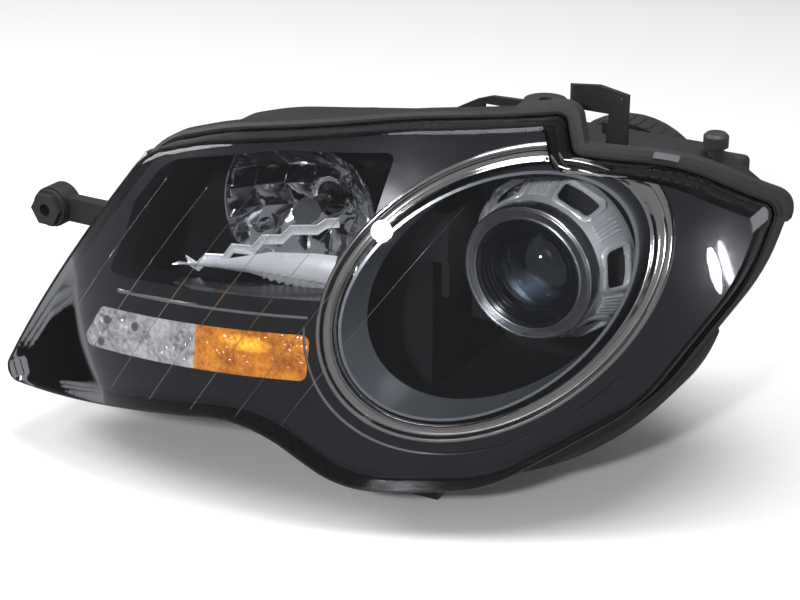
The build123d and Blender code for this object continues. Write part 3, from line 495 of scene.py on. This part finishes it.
def sheet(bm, rows, thickness):
    """Quads over a grid of points, facing forward, given a thickness behind."""
    grid = [[bm.verts.new(point) for point in row] for row in rows]
    for here, there in zip(grid, grid[1:]):
        for step in range(len(here) - 1):
            bm.faces.new((here[step], here[step + 1], there[step + 1], there[step]))
    bmesh.ops.recalc_face_normals(bm, faces=bm.faces)
    if sum(face.normal.y for face in bm.faces) > 0:
        bmesh.ops.reverse_faces(bm, faces=bm.faces)
    bmesh.ops.solidify(bm, geom=list(bm.faces), thickness=thickness)


def along(points, x):
    """Height of a polyline at x."""
    for (x0, z0), (x1, z1) in zip(points, points[1:]):
        if x <= x1:
            return z0 + (z1 - z0) * (x - x0) / (x1 - x0)
    return points[-1][1]


def pillow(share):
    """Rise at a share of a width: nothing at its edges, one at its middle."""
    return 1 - (2 * share - 1) ** 2


# ---------------------------------------------------------------- repeats, by geometry nodes
def repeat_tree(name, inputs, points_node, wiring, shape_node, shape_inputs):
    """A tree that sets a shape on points, turned outwards round a circle, and ends as one painted mesh."""
    tree = bpy.data.node_groups.new(name, "GeometryNodeTree")
    tree.interface.new_socket("Geometry", in_out="INPUT", socket_type="NodeSocketGeometry")
    for label, kind in [*inputs, ("Material", "NodeSocketMaterial")]:
        tree.interface.new_socket(label, in_out="INPUT", socket_type=kind)
    tree.interface.new_socket("Geometry", in_out="OUTPUT", socket_type="NodeSocketGeometry")
    nodes, links = tree.nodes, tree.links
    given, out = nodes.new("NodeGroupInput"), nodes.new("NodeGroupOutput")
    points, shape = nodes.new(points_node), nodes.new(shape_node)
    for label, socket in wiring.items():
        links.new(given.outputs[label], points.inputs[socket])
    for label, socket in shape_inputs.items():
        links.new(given.outputs[label], shape.inputs[socket])
    copies = nodes.new("GeometryNodeInstanceOnPoints")
    links.new(points.outputs[0], copies.inputs["Points"])
    links.new(shape.outputs[0], copies.inputs["Instance"])
    if points_node == "GeometryNodeMeshCircle":
        turn = nodes.new("FunctionNodeAlignRotationToVector")
        turn.axis = "X"
        links.new(nodes.new("GeometryNodeInputPosition").outputs[0], turn.inputs["Vector"])
        links.new(turn.outputs[0], copies.inputs["Rotation"])
    whole, paint = nodes.new("GeometryNodeRealizeInstances"), nodes.new("GeometryNodeSetMaterial")
    links.new(copies.outputs[0], whole.inputs[0])
    links.new(whole.outputs[0], paint.inputs["Geometry"])
    links.new(given.outputs["Material"], paint.inputs["Material"])
    links.new(paint.outputs[0], out.inputs[0])
    return tree


def round_tree():
    """Blocks round a circle: count, radius and the block's size."""
    return repeat_tree(
        "blocks_round_a_circle",
        [("Count", "NodeSocketInt"), ("Radius", "NodeSocketFloat"), ("Size", "NodeSocketVector")],
        "GeometryNodeMeshCircle", {"Count": "Vertices", "Radius": "Radius"},
        "GeometryNodeMeshCube", {"Size": "Size"},
    )


def field_tree():
    """Four-sided prisms over a field: its width and height, counts, and the prism's foot and rise."""
    return repeat_tree(
        "prisms_over_a_field",
        [("Width", "NodeSocketFloat"), ("Height", "NodeSocketFloat"), ("Across", "NodeSocketInt"),
         ("Up", "NodeSocketInt"), ("Sides", "NodeSocketInt"), ("Foot", "NodeSocketFloat"),
         ("Rise", "NodeSocketFloat")],
        "GeometryNodeMeshGrid",
        {"Width": "Size X", "Height": "Size Y", "Across": "Vertices X", "Up": "Vertices Y"},
        "GeometryNodeMeshCone", {"Sides": "Vertices", "Foot": "Radius Bottom", "Rise": "Depth"},
    )


def repeated(tree, slot, **wanted):
    """The tree's result as a mesh in work, lying in the XY plane."""
    wanted["Material"] = finish_of(slot)
    holder = bpy.data.objects.new("repeat_source", bpy.data.meshes.new("repeat_source"))
    bpy.context.scene.collection.objects.link(holder)
    modifier = holder.modifiers.new("repeats", "NODES")
    modifier.node_group = tree
    for item in tree.interface.items_tree:
        if item.item_type == "SOCKET" and item.in_out == "INPUT" and item.name in wanted:
            modifier[item.identifier] = wanted[item.name]
    bpy.context.view_layer.update()
    mesh = bpy.data.meshes.new_from_object(holder.evaluated_get(bpy.context.evaluated_depsgraph_get()))
    holder.modifiers.remove(modifier)
    bpy.data.objects.remove(holder)
    bm = bmesh.new()
    bm.from_mesh(mesh)
    bpy.data.meshes.remove(mesh)
    bmesh.ops.transform(bm, matrix=Matrix.Rotation(radians(90), 4, "X"), verts=bm.verts)
    return bm


def blocks_round(name, node, count, radius, size, centre, depth, skip=None, flare=0.0):
    """Blocks set about a fore-and-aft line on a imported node; flare widens them towards the back."""
    bm = repeated(round_tree(), SLOTS[node], Count=count, Radius=radius, Size=size)
    for vertex in bm.verts:
        x, y, z = vertex.co
        spread = 1 + flare * y / size[2]
        vertex.co = Vector((centre.x + x * spread, depth + y, centre.z + z * spread))
    if skip:
        doomed = [v for v in bm.verts if skip(atan2(v.co.z - centre.z, v.co.x - centre.x))]
        bmesh.ops.delete(bm, geom=doomed, context="VERTS")
    bmesh.ops.recalc_face_normals(bm, faces=bm.faces)
    return settle(bm, name, node, sharp=30.0, stands_for=False)


# ---------------------------------------------------------------- bezel pieces
# the chrome ring's section from its outer edge inwards: inset, set-back from the lens front
RING_SECTION = [
    (0.0, 25.0), (0.0, 20.6), (0.7, 19.4), (1.9, 19.0), (3.0, 19.7), (3.8, 21.2), (5.6, 22.8), (7.8, 23.2),
    (9.3, 22.2), (10.0, 20.8), (10.9, 20.1), (11.7, 20.7), (12.0, 22.2), (12.0, 25.0),
]


NEAR_ANGLE = radians(2.5)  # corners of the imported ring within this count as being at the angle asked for
NARROWEST = 0.25  # least share of the ring's band that is left where the lens's edge trims it


def oval_point(turn, grow=0.0):
    """A point of the chrome ring's outer edge in the front view, moved out by grow."""
    across, up = RING_SEMI[0] * cos(turn), RING_SEMI[1] * sin(turn)
    out = Vector((RING_SEMI[1] * cos(turn), RING_SEMI[0] * sin(turn))).normalized()
    across, up = across + out.x * grow, up + out.y * grow
    return (
        RING_CENTRE.x + across * cos(RING_TURN) - up * sin(RING_TURN),
        RING_CENTRE.z + across * sin(RING_TURN) + up * cos(RING_TURN),
    )


def ring_room(turn):
    """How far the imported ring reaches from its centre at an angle: the lens's edge trims it at the top."""
    best = 0.0
    for vertex in frame["nodes"]["bezel_ring"].data.vertices:
        across, up = vertex.co.x - RING_CENTRE.x, vertex.co.z - RING_CENTRE.z
        gap = (atan2(up, across) - turn + pi) % (2 * pi) - pi
        if abs(gap) < NEAR_ANGLE:
            best = max(best, hypot(across, up))
    return best


def make_rolled_ring(steps=180):
    """Chrome ring with its rolled section, narrowed where the lens's edge trims it."""
    bm = bmesh.new()
    rings = []
    for step in range(steps):
        turn = 2 * pi * step / steps
        edge = Vector(oval_point(turn)) - RING_CENTRE.xz
        inner = Vector(oval_point(turn, -RING_BAND)) - RING_CENTRE.xz
        room = ring_room(atan2(edge.y, edge.x))
        share = min(1.0, max(NARROWEST, (room - inner.length) / (edge.length - inner.length)))
        ring = []
        for inset, set_back in RING_SECTION:
            x, z = oval_point(turn, (RING_BAND - inset * MM) * share - RING_BAND)
            ring.append((x, crown_depth(x, z, set_back * MM), z))
        rings.append(ring)
    loft(bm, rings)
    return settle(bm, "bezel_ring_rolled", "bezel_ring", sharp=50.0)


# the raised chrome line, a painted highlight along a crease of the bezel: degrees at its start, degrees it
# runs for, its gap off the ring, and how far it stands out
HIGHLIGHT_LINE_START, HIGHLIGHT_LINE_SWEEP, HIGHLIGHT_LINE_GAP, HIGHLIGHT_LINE_STAND = 150, 135, 9 * MM, 0.2 * MM


def make_painted_highlight_line(steps=90, radius=0.9 * MM):
    """Thin raised line that follows the ring's lower side on the bezel, in the trim's chrome as a painted
    highlight along the bezel's crease.
    """
    bm = bmesh.new()
    rings = []
    for step in range(steps + 1):
        x, z = oval_point(radians(HIGHLIGHT_LINE_START + HIGHLIGHT_LINE_SWEEP * step / steps), HIGHLIGHT_LINE_GAP)
        y = crown_depth(x, z, BEZEL_FACE - HIGHLIGHT_LINE_STAND)
        spokes = [2 * pi * side / 6 for side in range(6)]
        rings.append([(x + radius * cos(a), y + 0.8 * radius * sin(a), z + radius * cos(a)) for a in spokes])
    loft(bm, rings, closed=False, capped=True)
    return settle(bm, "bezel_painted_highlight_line", "bezel_trim", sharp=60.0, stands_for=False)


# ---------------------------------------------------------------- high beam pieces
FACET_SHALLOW, FACET_DEEPER = 0.4 * MM, 1.4 * MM  # facets stand out by the first, each second one by both
FACET_SLANT = 0.35  # sideways lean of a facet's edges, as a share of its width
FACET_WALL = 1.2 * MM
BULB_HOLE = 13 * MM

# front views in millimetres; set-backs are from the lens's front
BLADE_TOP = [(-217, -116), (-183, -107), (-141, -95), (-109, -92), (-92, -92)]
BLADE_FOOT = [(-217, -117), (-183, -115), (-160, -114), (-130, -117), (-93, -120)]
STEP_EDGE = [(-208, -109), (-198, -112), (-192, -105), (-177, -103), (-172, -95), (-156, -94), (-150, -86),
             (-136, -84), (-130, -77), (-112, -75), (-106, -70), (-98, -69)]
BLADE_SET_BACK, BLADE_LEAN = 43.0, 2.0
BLADE_CURL = 4.5  # how far the foot curls back
CREASE_HEIGHT, CREASE_DEPTH = 0.3, 1.8  # the crease's share of the blade's height, and its step
BLADE_HOLLOW = 3.5  # how far the wide end's middle bulges forward
TOOTH_DEEP, TEETH_FROM = 1.4, 0.55
BLADE_WALL = 1.0
LIP_SET_BACK, LIP_BEND, LIP_HEIGHT, LIP_WALL = 47.0, 4.0, 7.0, 0.9


def make_facets(sizes, fine=7):
    """Bright facets in front of the bowl: pillows with slanting edges, at two depths like a chequerboard."""
    low, high = (Vector(corner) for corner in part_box("high_beam_reflector"))
    bm = bmesh.new()
    width, height = (high.x - low.x) / sizes.facet_columns, (high.z - low.z) / sizes.facet_rows
    for column in range(sizes.facet_columns):
        for row in range(sizes.facet_rows):
            step_out = FACET_SHALLOW + FACET_DEEPER * ((column + row) % 2)
            made = {}
            for j in range(fine + 1):
                for i in range(fine + 1):
                    s, t = i / fine, j / fine
                    slant = FACET_SLANT * width * (t - 0.5) * (1 if row % 2 else -1)
                    share = (column + s) / sizes.facet_columns
                    x = low.x + (column + s) * width + slant * pillow(share) ** 0.5
                    z = low.z + (row + t) * height
                    r2 = (x - HIGH_CENTRE.x) ** 2 + (z - HIGH_CENTRE.z) ** 2
                    rise = step_out + sizes.facet_rise * pillow(s) * pillow(t)
                    y = HIGH_VERTEX - r2 / (4 * HIGH_FOCUS) - rise
                    if r2 > BULB_HOLE**2 and y > low.y:
                        made[i, j] = bm.verts.new((x, y, z))
            for j in range(fine):
                for i in range(fine):
                    keys = [(i, j), (i + 1, j), (i + 1, j + 1), (i, j + 1)]
                    if all(key in made for key in keys):
                        bm.faces.new([made[key] for key in keys])
    loose = [vertex for vertex in bm.verts if not vertex.link_faces]
    bmesh.ops.delete(bm, geom=loose, context="VERTS")
    faces = list(bm.faces)
    bmesh.ops.recalc_face_normals(bm, faces=faces)
    for face in faces:
        if face.normal.y > 0:
            face.normal_flip()
    bmesh.ops.solidify(bm, geom=faces, thickness=FACET_WALL)
    return settle(bm, "high_beam_facets", "high_beam_reflector", sharp=25.0, stands_for=False)


def behind_lens(x, z, set_back):
    """A point at (x, z) in the front view and set back from the lens's front, all in millimetres."""
    return Vector((x * MM, crown_depth(x * MM, z * MM, set_back * MM), z * MM))


def make_blade(steps=80, parts=12):
    """Silver panel under the reflector: a curved scoop with a crease and a toothed lower edge."""
    rows = []
    first, last = BLADE_TOP[0][0], BLADE_FOOT[-1][0]
    for step in range(steps + 1):
        share = step / steps
        x = first + (last - first) * share
        top, foot = along(BLADE_TOP, x), along(BLADE_FOOT, x)
        tooth = TOOTH_DEEP * (step % 4 < 2) if share > TEETH_FROM else 0.0
        row = []
        for part in range(parts + 1):
            t = part / parts
            z = foot + (top - foot) * t - tooth * (1 - t) ** 2
            crease = CREASE_DEPTH if t < CREASE_HEIGHT else 0.0
            bend = BLADE_CURL * (1 - t) ** 2 + crease - BLADE_HOLLOW * pillow(t) * share
            row.append(behind_lens(x, z, BLADE_SET_BACK - BLADE_LEAN * t + bend))
        rows.append(row)
    bm = bmesh.new()
    sheet(bm, rows, BLADE_WALL * MM)
    return settle(bm, "high_beam_blade_sculpted", "high_beam_blade", sharp=20.0)


def make_step_edge(parts=6):
    """Stepped bright lip that crosses the reflector above the blade."""
    rows = []
    for x, z in STEP_EDGE:
        row = []
        for part in range(parts + 1):
            t = part / parts
            row.append(behind_lens(x, z - LIP_HEIGHT + LIP_HEIGHT * t, LIP_SET_BACK - LIP_BEND * t * t))
        rows.append(row)
    bm = bmesh.new()
    sheet(bm, rows, LIP_WALL * MM)
    return settle(bm, "high_beam_stepped_lip", "high_beam_blade", sharp=12.0, stands_for=False)


# ---------------------------------------------------------------- lens, indicator and projector pieces
LENS_WALL = 3.3 * MM
RIDGE_FOOT, RIDGE_TOP, FIRST_RIDGE = -196 * MM, -46 * MM, -305 * MM
RIDGE_LEAN = 53 / 83  # outwards for each millimetre up
PRISM_RISE, PRISM_SEAT = 0.9 * MM, 0.45 * MM
PRISM_FOOT = 0.66  # share of the pitch between prisms


def make_lens_ridges(sizes, steps=60):
    """Fine slanting ridges moulded on the inside of the lens over the high beam."""
    bm = bmesh.new()
    half = sizes.ridge_width / 2
    for index in range(sizes.ridge_count):
        start = FIRST_RIDGE + sizes.ridge_spacing * index
        rings = []
        for step in range(steps + 1):
            z = RIDGE_FOOT + (RIDGE_TOP - RIDGE_FOOT) * step / steps
            x = start + (z - RIDGE_FOOT) * RIDGE_LEAN
            y = crown_depth(x, z, LENS_WALL)
            rings.append([(x - half, y, z), (x + half, y, z), (x, y + 2 * half, z)])
        loft(bm, rings, closed=False, capped=True)
    return settle(bm, "lens_ridges", "lens", sharp=80.0, stands_for=False, slot="ridge")


def make_indicator_prisms(sizes, node):
    """Rows of small four-sided prisms pressed on the front of one part of the indicator lens."""
    low, high = (Vector(corner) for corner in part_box(node))
    width, height = high.x - low.x, high.z - low.z
    across, up = int(width / sizes.optic_pitch), int(height / sizes.optic_pitch)
    foot = PRISM_FOOT * sizes.optic_pitch
    bm = repeated(
        field_tree(), SLOTS[node], Width=width, Height=height, Across=across, Up=up, Sides=4, Foot=foot,
        Rise=PRISM_RISE,
    )
    centre = (low + high) / 2
    quarter = Matrix.Rotation(radians(45), 4, "Y")
    for island in islands(bm):
        spot = sum((vertex.co for vertex in island), Vector()) / len(island)
        x, z = spot.x + centre.x, spot.z + centre.z
        if not inside_strip(x, z, foot, low.x, high.x):
            bmesh.ops.delete(bm, geom=island, context="VERTS")
            continue
        depth = crown_depth(x, z, BEZEL_FACE + PRISM_SEAT)
        for vertex in island:
            local = quarter @ (vertex.co - spot)
            vertex.co = Vector((x + local.x, depth + vertex.co.y, z + local.z))
            vertex.co.y += crown_depth(vertex.co.x, vertex.co.z) - crown_depth(x, z)
    bmesh.ops.recalc_face_normals(bm, faces=bm.faces)
    return settle(bm, node + "_prisms", node, sharp=4.0, stands_for=False)


def islands(bm):
    """The mesh's separate pieces, each as a list of its points."""
    found, seen = [], set()
    for start in bm.verts:
        if start in seen:
            continue
        island, edge = [], [start]
        seen.add(start)
        while edge:
            vertex = edge.pop()
            island.append(vertex)
            for link in vertex.link_edges:
                other = link.other_vert(vertex)
                if other not in seen:
                    seen.add(other)
                    edge.append(other)
        found.append(island)
    return found


# the indicator strip's edges in the front view, in millimetres
STRIP_TOP = [(-264, -149), (-95, -139)]
STRIP_FOOT = [(-283, -181), (-95, -171)]


def inside_strip(x, z, margin, left, right):
    """Whether a prism at (x, z) stands clear of the strip's edges and of the piece's two ends."""
    if not left + margin < x < right - margin:
        return False
    (top_x, top_z), (foot_x, foot_z) = STRIP_TOP[0], STRIP_FOOT[0]
    end = top_x + (z / MM - top_z) * (foot_x - top_x) / (foot_z - top_z)
    top, foot = along(STRIP_TOP, x / MM) * MM, along(STRIP_FOOT, x / MM) * MM
    return foot + margin < z < top - margin and x > end * MM + margin


# the projector's shroud, in millimetres: depths, its radius at the front, at the windows and at the widest
WINDOW_TURNS = [radians(5 + 60 * index) for index in range(6)]
WINDOW_DEPTH = -23
SHROUD_FRONT = -39.0
SHROUD_NOSE, SHROUD_MIDDLE, SHROUD_WIDEST = 48, 55, 61.0
SHROUD_FLARE = 13 / 26  # the shroud's radius grows this much for each millimetre back
WINDOW_INNER = (14.0, 8.6, 5.0)  # a frame's half width, half depth and corner, at its inner edge
WINDOW_OUTER = (17.6, 11.6, 6.5)
# a frame's section: share of the way from its inner to its outer edge, and height off the wall
WINDOW_SECTION = [(0, -1.2), (0, 0.5), (0.25, 1.0), (0.75, 1.0), (1, 0.3), (1, -1.2)]
RIB_SIZE = (2.2 * MM, 1.0 * MM, 17 * MM)
RIB_COUNT, RIB_RADIUS, RIB_FLARE = 120, 55.4 * MM, 0.15
TAB_OFFSET, TAB_HALF = radians(30), radians(8)  # a tab's middle from its window's, and half its width


def on_shroud(turn, depth, out):
    """A point on the shroud's outer wall: angle, depth in millimetres, and height off the wall."""
    radius = min(SHROUD_NOSE + (depth - SHROUD_FRONT) * SHROUD_FLARE, SHROUD_WIDEST) + out
    return LOW_CENTRE + Vector((radius * cos(turn), depth, radius * sin(turn))) * MM


def rounded_window(half_wide, half_deep, corner, steps=8):
    """Offsets of a rounded window's edge, in millimetres round the wall and in depth."""
    path = []
    for quarter, (side, end) in enumerate([(1, 1), (-1, 1), (-1, -1), (1, -1)]):
        for step in range(steps + 1):
            swing = radians(90 * quarter + 90 * step / steps)
            across = side * (half_wide - corner) + corner * cos(swing)
            deep = end * (half_deep - corner) + corner * sin(swing)
            path.append((across, deep))
    return path


def make_window_frames():
    """Raised frames with rounded corners round the shroud's windows."""
    bm = bmesh.new()
    for centre in WINDOW_TURNS:
        rings = []
        for (a, b), (c, d) in zip(rounded_window(*WINDOW_INNER), rounded_window(*WINDOW_OUTER)):
            ring = []
            for share, out in WINDOW_SECTION:
                across, deep = a + (c - a) * share, b + (d - b) * share
                ring.append(on_shroud(centre + across / SHROUD_MIDDLE, WINDOW_DEPTH + deep, out))
            rings.append(ring)
        loft(bm, rings)
    return settle(bm, "shroud_window_frames", "projector_shroud", sharp=40.0, stands_for=False)


def make_shroud_ribs():
    """Fine ribs on the tabs between the shroud's windows."""
    def off_tab(turn):
        gaps = [(turn - centre - TAB_OFFSET + pi) % (2 * pi) - pi for centre in WINDOW_TURNS]
        return min(abs(gap) for gap in gaps) > TAB_HALF

    return blocks_round(
        "shroud_ribs", "projector_shroud", RIB_COUNT, RIB_RADIUS, RIB_SIZE, LOW_CENTRE, WINDOW_DEPTH * MM,
        off_tab, RIB_FLARE,
    )


def lathe(name, node, section, centre, slot=None, steps=128, sharp=30.0):
    """A closed section of radius and depth turned about a fore-and-aft line."""
    bm = bmesh.new()
    rings = []
    for step in range(steps):
        turn = 2 * pi * step / steps
        rings.append([
            (centre.x + radius * MM * cos(turn), depth * MM, centre.z + radius * MM * sin(turn))
            for radius, depth in section
        ])
    loft(bm, rings)
    return settle(bm, name, node, sharp=sharp, stands_for=False, slot=slot)


# radius and depth in millimetres: the funnel's back, then its steps
FUNNEL_BACK = [(39.6, -52.6), (34.2, -44.9), (30.3, -43.6)]
FUNNEL_STEPS = [
    (30.3, -45.2), (31.8, -45.4), (31.8, -47.0), (34.0, -47.2), (34.0, -49.2), (36.6, -49.4), (36.6, -51.6),
    (38.6, -52.9),
]
# round lines on the satin ring: radius, depth and half their thickness in millimetres
RING_LINES = {"projector_ring_lip": (40.4, -53.0, 0.9), "projector_ring_line": (46.6, -53.0, 0.5)}
GRIP_RADIUS = {"low_beam_cover": 64.6 * MM, "high_beam_cover": 46.6 * MM}
GRIP_SIZE = (1.6 * MM, 2.4 * MM, 18 * MM)
GRIP_DEPTH = 11 * MM  # of a grip's middle behind the cover's front


def make_ring_funnel():
    """Black stepped funnel between the projector's satin ring and its glass."""
    section = FUNNEL_BACK + FUNNEL_STEPS
    return lathe("projector_funnel", "projector_lens_ring", section, LOW_CENTRE, "bezel_black")


def make_ring_lip():
    """Rolled inner lip and outer shoulder line of the satin ring."""
    spokes = [2 * pi * side / 10 for side in range(10)]
    for name, (radius, depth, thick) in RING_LINES.items():
        section = [(radius + thick * cos(a), depth + thick * sin(a)) for a in spokes]
        lathe(name, "projector_lens_ring", section, LOW_CENTRE, sharp=60.0)


def make_cover_grips(sizes):
    """Grip ribs round the rim of each rear cover."""
    for node, radius in GRIP_RADIUS.items():
        low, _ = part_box(node)
        depth = low[1] + GRIP_DEPTH
        blocks_round(node + "_grips", node, sizes.grip_count, radius, GRIP_SIZE, middle(node), depth)


# ---------------------------------------------------------------- stage pieces
def place(thing, name, spot, aim):
    """An object that holds a camera or a light, looking at aim."""
    holder = bpy.data.objects.new(name, thing)
    bpy.context.scene.collection.objects.link(holder)
    holder.location = spot
    holder.rotation_euler = (spot - aim).to_track_quat("Z", "Y").to_euler()
    return holder


def make_floor(colour, reach=8.0):
    """Pale floor just under the lamp, kept out of mirror reflections."""
    low = CAD_BOX[0][2] - 1 * MM
    corners = [(-reach, -reach, low), (reach, -reach, low), (reach, reach, low), (-reach, reach, low)]
    mesh = bpy.data.meshes.new("floor")
    mesh.from_pydata(corners, [], [(0, 1, 2, 3)])
    floor = bpy.data.objects.new("floor", mesh)
    bpy.context.scene.collection.objects.link(floor)
    floor.visible_glossy = False
    paint = Finish("pale_floor")
    mottle = paint.noise(3.0, 2.0)
    mesh.materials.append(paint.surface(Base_Color=paint.blend(mottle, *around(colour, 0.02)), Roughness=0.6))


def make_surroundings(strength):
    """White to the camera, a dim cool white to everything lit by it."""
    bpy.context.scene.view_settings.view_transform = "Standard"
    world = bpy.data.worlds.new("studio")
    bpy.context.scene.world = world
    world.use_nodes = True
    nodes, links = world.node_tree.nodes, world.node_tree.links
    nodes.clear()
    mix = nodes.new("ShaderNodeMixShader")
    links.new(nodes.new("ShaderNodeLightPath").outputs["Is Camera Ray"], mix.inputs[0])
    for index, colour, power in [(1, (0.95, 0.97, 1, 1), strength), (2, (1, 1, 1, 1), 1.0)]:
        light = nodes.new("ShaderNodeBackground")
        light.inputs[0].default_value = colour
        light.inputs[1].default_value = power
        links.new(light.outputs[0], mix.inputs[index])
    links.new(mix.outputs[0], nodes.new("ShaderNodeOutputWorld").inputs[0])


VIEW_CENTRE = Vector((-49.5, -115.5, -119)) * MM

# where each softbox stands, its width and height, and its power
SOFTBOXES = {
    "key_softbox": ((-1.7, -0.9, 1.35), (1.2, 1.2), 44.0),
    "strip_softbox": ((1.95, -0.25, 0.24), (0.07, 0.30), 3.0),
    "front_lamp": ((0.30, -1.75, 0.70), (0.14, 0.14), 20.0),
    "top_softbox": ((0.2, 0.1, 1.95), (1.6, 1.6), 42.0),
}


# ---------------------------------------------------------------- operators
class HeadlightOperator:
    """What the headlight's operators share."""

    bl_options = {"REGISTER", "UNDO"}
    nodes = ()

    def execute(self, context):
        for node in self.nodes:
            smooth_copy(node)
        self.details(context.scene.headlight_sizes)
        return {"FINISHED"}

    def details(self, sizes):
        """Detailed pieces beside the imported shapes; a group may have none."""


class HEADLIGHT_OT_stage(Operator):
    """Set the floor, the camera and the studio lights"""

    bl_idname = "headlight.stage"
    bl_label = "Stage"

    def execute(self, context):
        stage = context.scene.headlight_stage
        turn, rise = stage.camera_turn, stage.camera_rise
        back = Vector((sin(turn) * cos(rise), -cos(turn) * cos(rise), sin(rise)))
        camera = bpy.data.cameras.new("camera")
        camera.lens = stage.camera_away / stage.view_width * camera.sensor_width
        camera.clip_start = 10 * MM
        spot = VIEW_CENTRE + back * stage.camera_away
        context.scene.camera = place(camera, "camera", spot, VIEW_CENTRE)
        make_floor(tuple(stage.floor_colour))
        make_surroundings(stage.ambient)
        for name, (spot, (width, height), power) in SOFTBOXES.items():
            lamp = bpy.data.lights.new(name, "AREA")
            lamp.shape = "ELLIPSE"
            lamp.size, lamp.size_y, lamp.energy = width, height, power
            place(lamp, name, Vector(spot), VIEW_CENTRE)
        return {"FINISHED"}


class HEADLIGHT_OT_housing(HeadlightOperator, Operator):
    """Finish the housing, its seals, clips, bushes and breather"""

    bl_idname = "headlight.housing"
    bl_label = "Housing"
    nodes = ("housing", "lens_sealant", "top_seal", "flange_clips", "ear_bush", "top_bush", "breather")


class HEADLIGHT_OT_lens(HeadlightOperator, Operator):
    """Finish the clear cover lens and mould its slanting ridges"""

    bl_idname = "headlight.lens"
    bl_label = "Lens"
    nodes = ("lens",)

    def details(self, sizes):
        make_lens_ridges(sizes)


class HEADLIGHT_OT_bezel(HeadlightOperator, Operator):
    """Make the bezel, its trim line, the rolled chrome ring and the tapered surround"""

    bl_idname = "headlight.bezel"
    bl_label = "Bezel and ring"
    nodes = ("bezel", "bezel_trim", "low_beam_surround")

    def details(self, sizes):
        make_rolled_ring()
        # a chrome line as a painted highlight along the bezel's crease
        make_painted_highlight_line()


class HEADLIGHT_OT_indicator(HeadlightOperator, Operator):
    """Make the indicator strip with its pressed prisms, tray, screws, holder and bulb"""

    bl_idname = "headlight.indicator"
    bl_label = "Indicator"
    nodes = ("indicator_lens", "amber_lens", "indicator_tray", "indicator_screws", "indicator_socket",
             "indicator_bulb")

    def details(self, sizes):
        make_indicator_prisms(sizes, "indicator_lens")
        make_indicator_prisms(sizes, "amber_lens")


class HEADLIGHT_OT_low_beam(HeadlightOperator, Operator):
    """Make the low beam projector: glass, satin ring, funnel, shroud, carrier, reflector and bulb"""

    bl_idname = "headlight.low_beam"
    bl_label = "Low beam"
    nodes = ("projector_lens", "projector_lens_ring", "projector_shroud", "projector_carrier",
             "cutoff_shield", "projector_reflector", "projector_screws", "low_beam_bulb", "low_beam_plug",
             "low_beam_clip")

    def details(self, sizes):
        make_ring_funnel()
        make_ring_lip()
        make_window_frames()
        make_shroud_ribs()


class HEADLIGHT_OT_high_beam(HeadlightOperator, Operator):
    """Make the high beam: facetted reflector, bulb and shield, silver blade and stepped lip, position lamp"""

    bl_idname = "headlight.high_beam"
    bl_label = "High beam"
    nodes = ("high_beam_reflector", "high_beam_bulb", "high_beam_plug", "high_beam_clip", "glare_shield",
             "position_bulb", "position_socket")

    def details(self, sizes):
        make_facets(sizes)
        make_blade()
        make_step_edge()


class HEADLIGHT_OT_aiming(HeadlightOperator, Operator):
    """Finish the aiming frame, its pivot, levelling motor and adjusting screws"""

    bl_idname = "headlight.aiming"
    bl_label = "Aiming"
    nodes = ("pivot_stud", "pivot_socket", "aim_frame", "level_rod", "level_motor", "lateral_aim_screw",
             "lateral_drive", "lateral_aim_knob", "vertical_aim_knob")


class HEADLIGHT_OT_rear(HeadlightOperator, Operator):
    """Make the rear covers with their grips and seals, and the connector"""

    bl_idname = "headlight.rear"
    bl_label = "Rear covers and connector"
    nodes = ("low_beam_cover", "low_beam_cover_seal", "high_beam_cover", "high_beam_cover_seal", "connector",
             "connector_pins")

    def details(self, sizes):
        make_cover_grips(sizes)


class HEADLIGHT_PT_sidebar(Panel):
    """Lists the headlight's sizes, colours and operators"""

    bl_idname = "HEADLIGHT_PT_sidebar"
    bl_label = "Headlight"
    bl_space_type = "VIEW_3D"
    bl_region_type = "UI"
    bl_category = "Headlight"

    def draw(self, context):
        for group_name in GROUPS:
            group = getattr(context.scene, group_name)
            box = self.layout.box()
            for name in group.__annotations__:
                box.prop(group, name)
        for operator in OPERATORS:
            self.layout.operator(operator.bl_idname)


OPERATORS = (
    HEADLIGHT_OT_stage, HEADLIGHT_OT_housing, HEADLIGHT_OT_lens, HEADLIGHT_OT_bezel, HEADLIGHT_OT_indicator,
    HEADLIGHT_OT_low_beam, HEADLIGHT_OT_high_beam, HEADLIGHT_OT_aiming, HEADLIGHT_OT_rear,
)
GROUPS = {
    "headlight_colours": HeadlightColours,
    "headlight_sizes": HeadlightSizes,
    "headlight_stage": HeadlightStage,
}


def register():
    for item in (*GROUPS.values(), *OPERATORS, HEADLIGHT_PT_sidebar):
        bpy.utils.register_class(item)
    for name, group in GROUPS.items():
        setattr(bpy.types.Scene, name, PointerProperty(type=group))


def unregister():
    for name in GROUPS:
        delattr(bpy.types.Scene, name)
    for item in (HEADLIGHT_PT_sidebar, *reversed(OPERATORS), *reversed(GROUPS.values())):
        bpy.utils.unregister_class(item)


def main():
    register()
    for operator in OPERATORS:
        getattr(bpy.ops.headlight, operator.bl_idname.split(".")[1])()


if __name__ == "__main__":
    main()
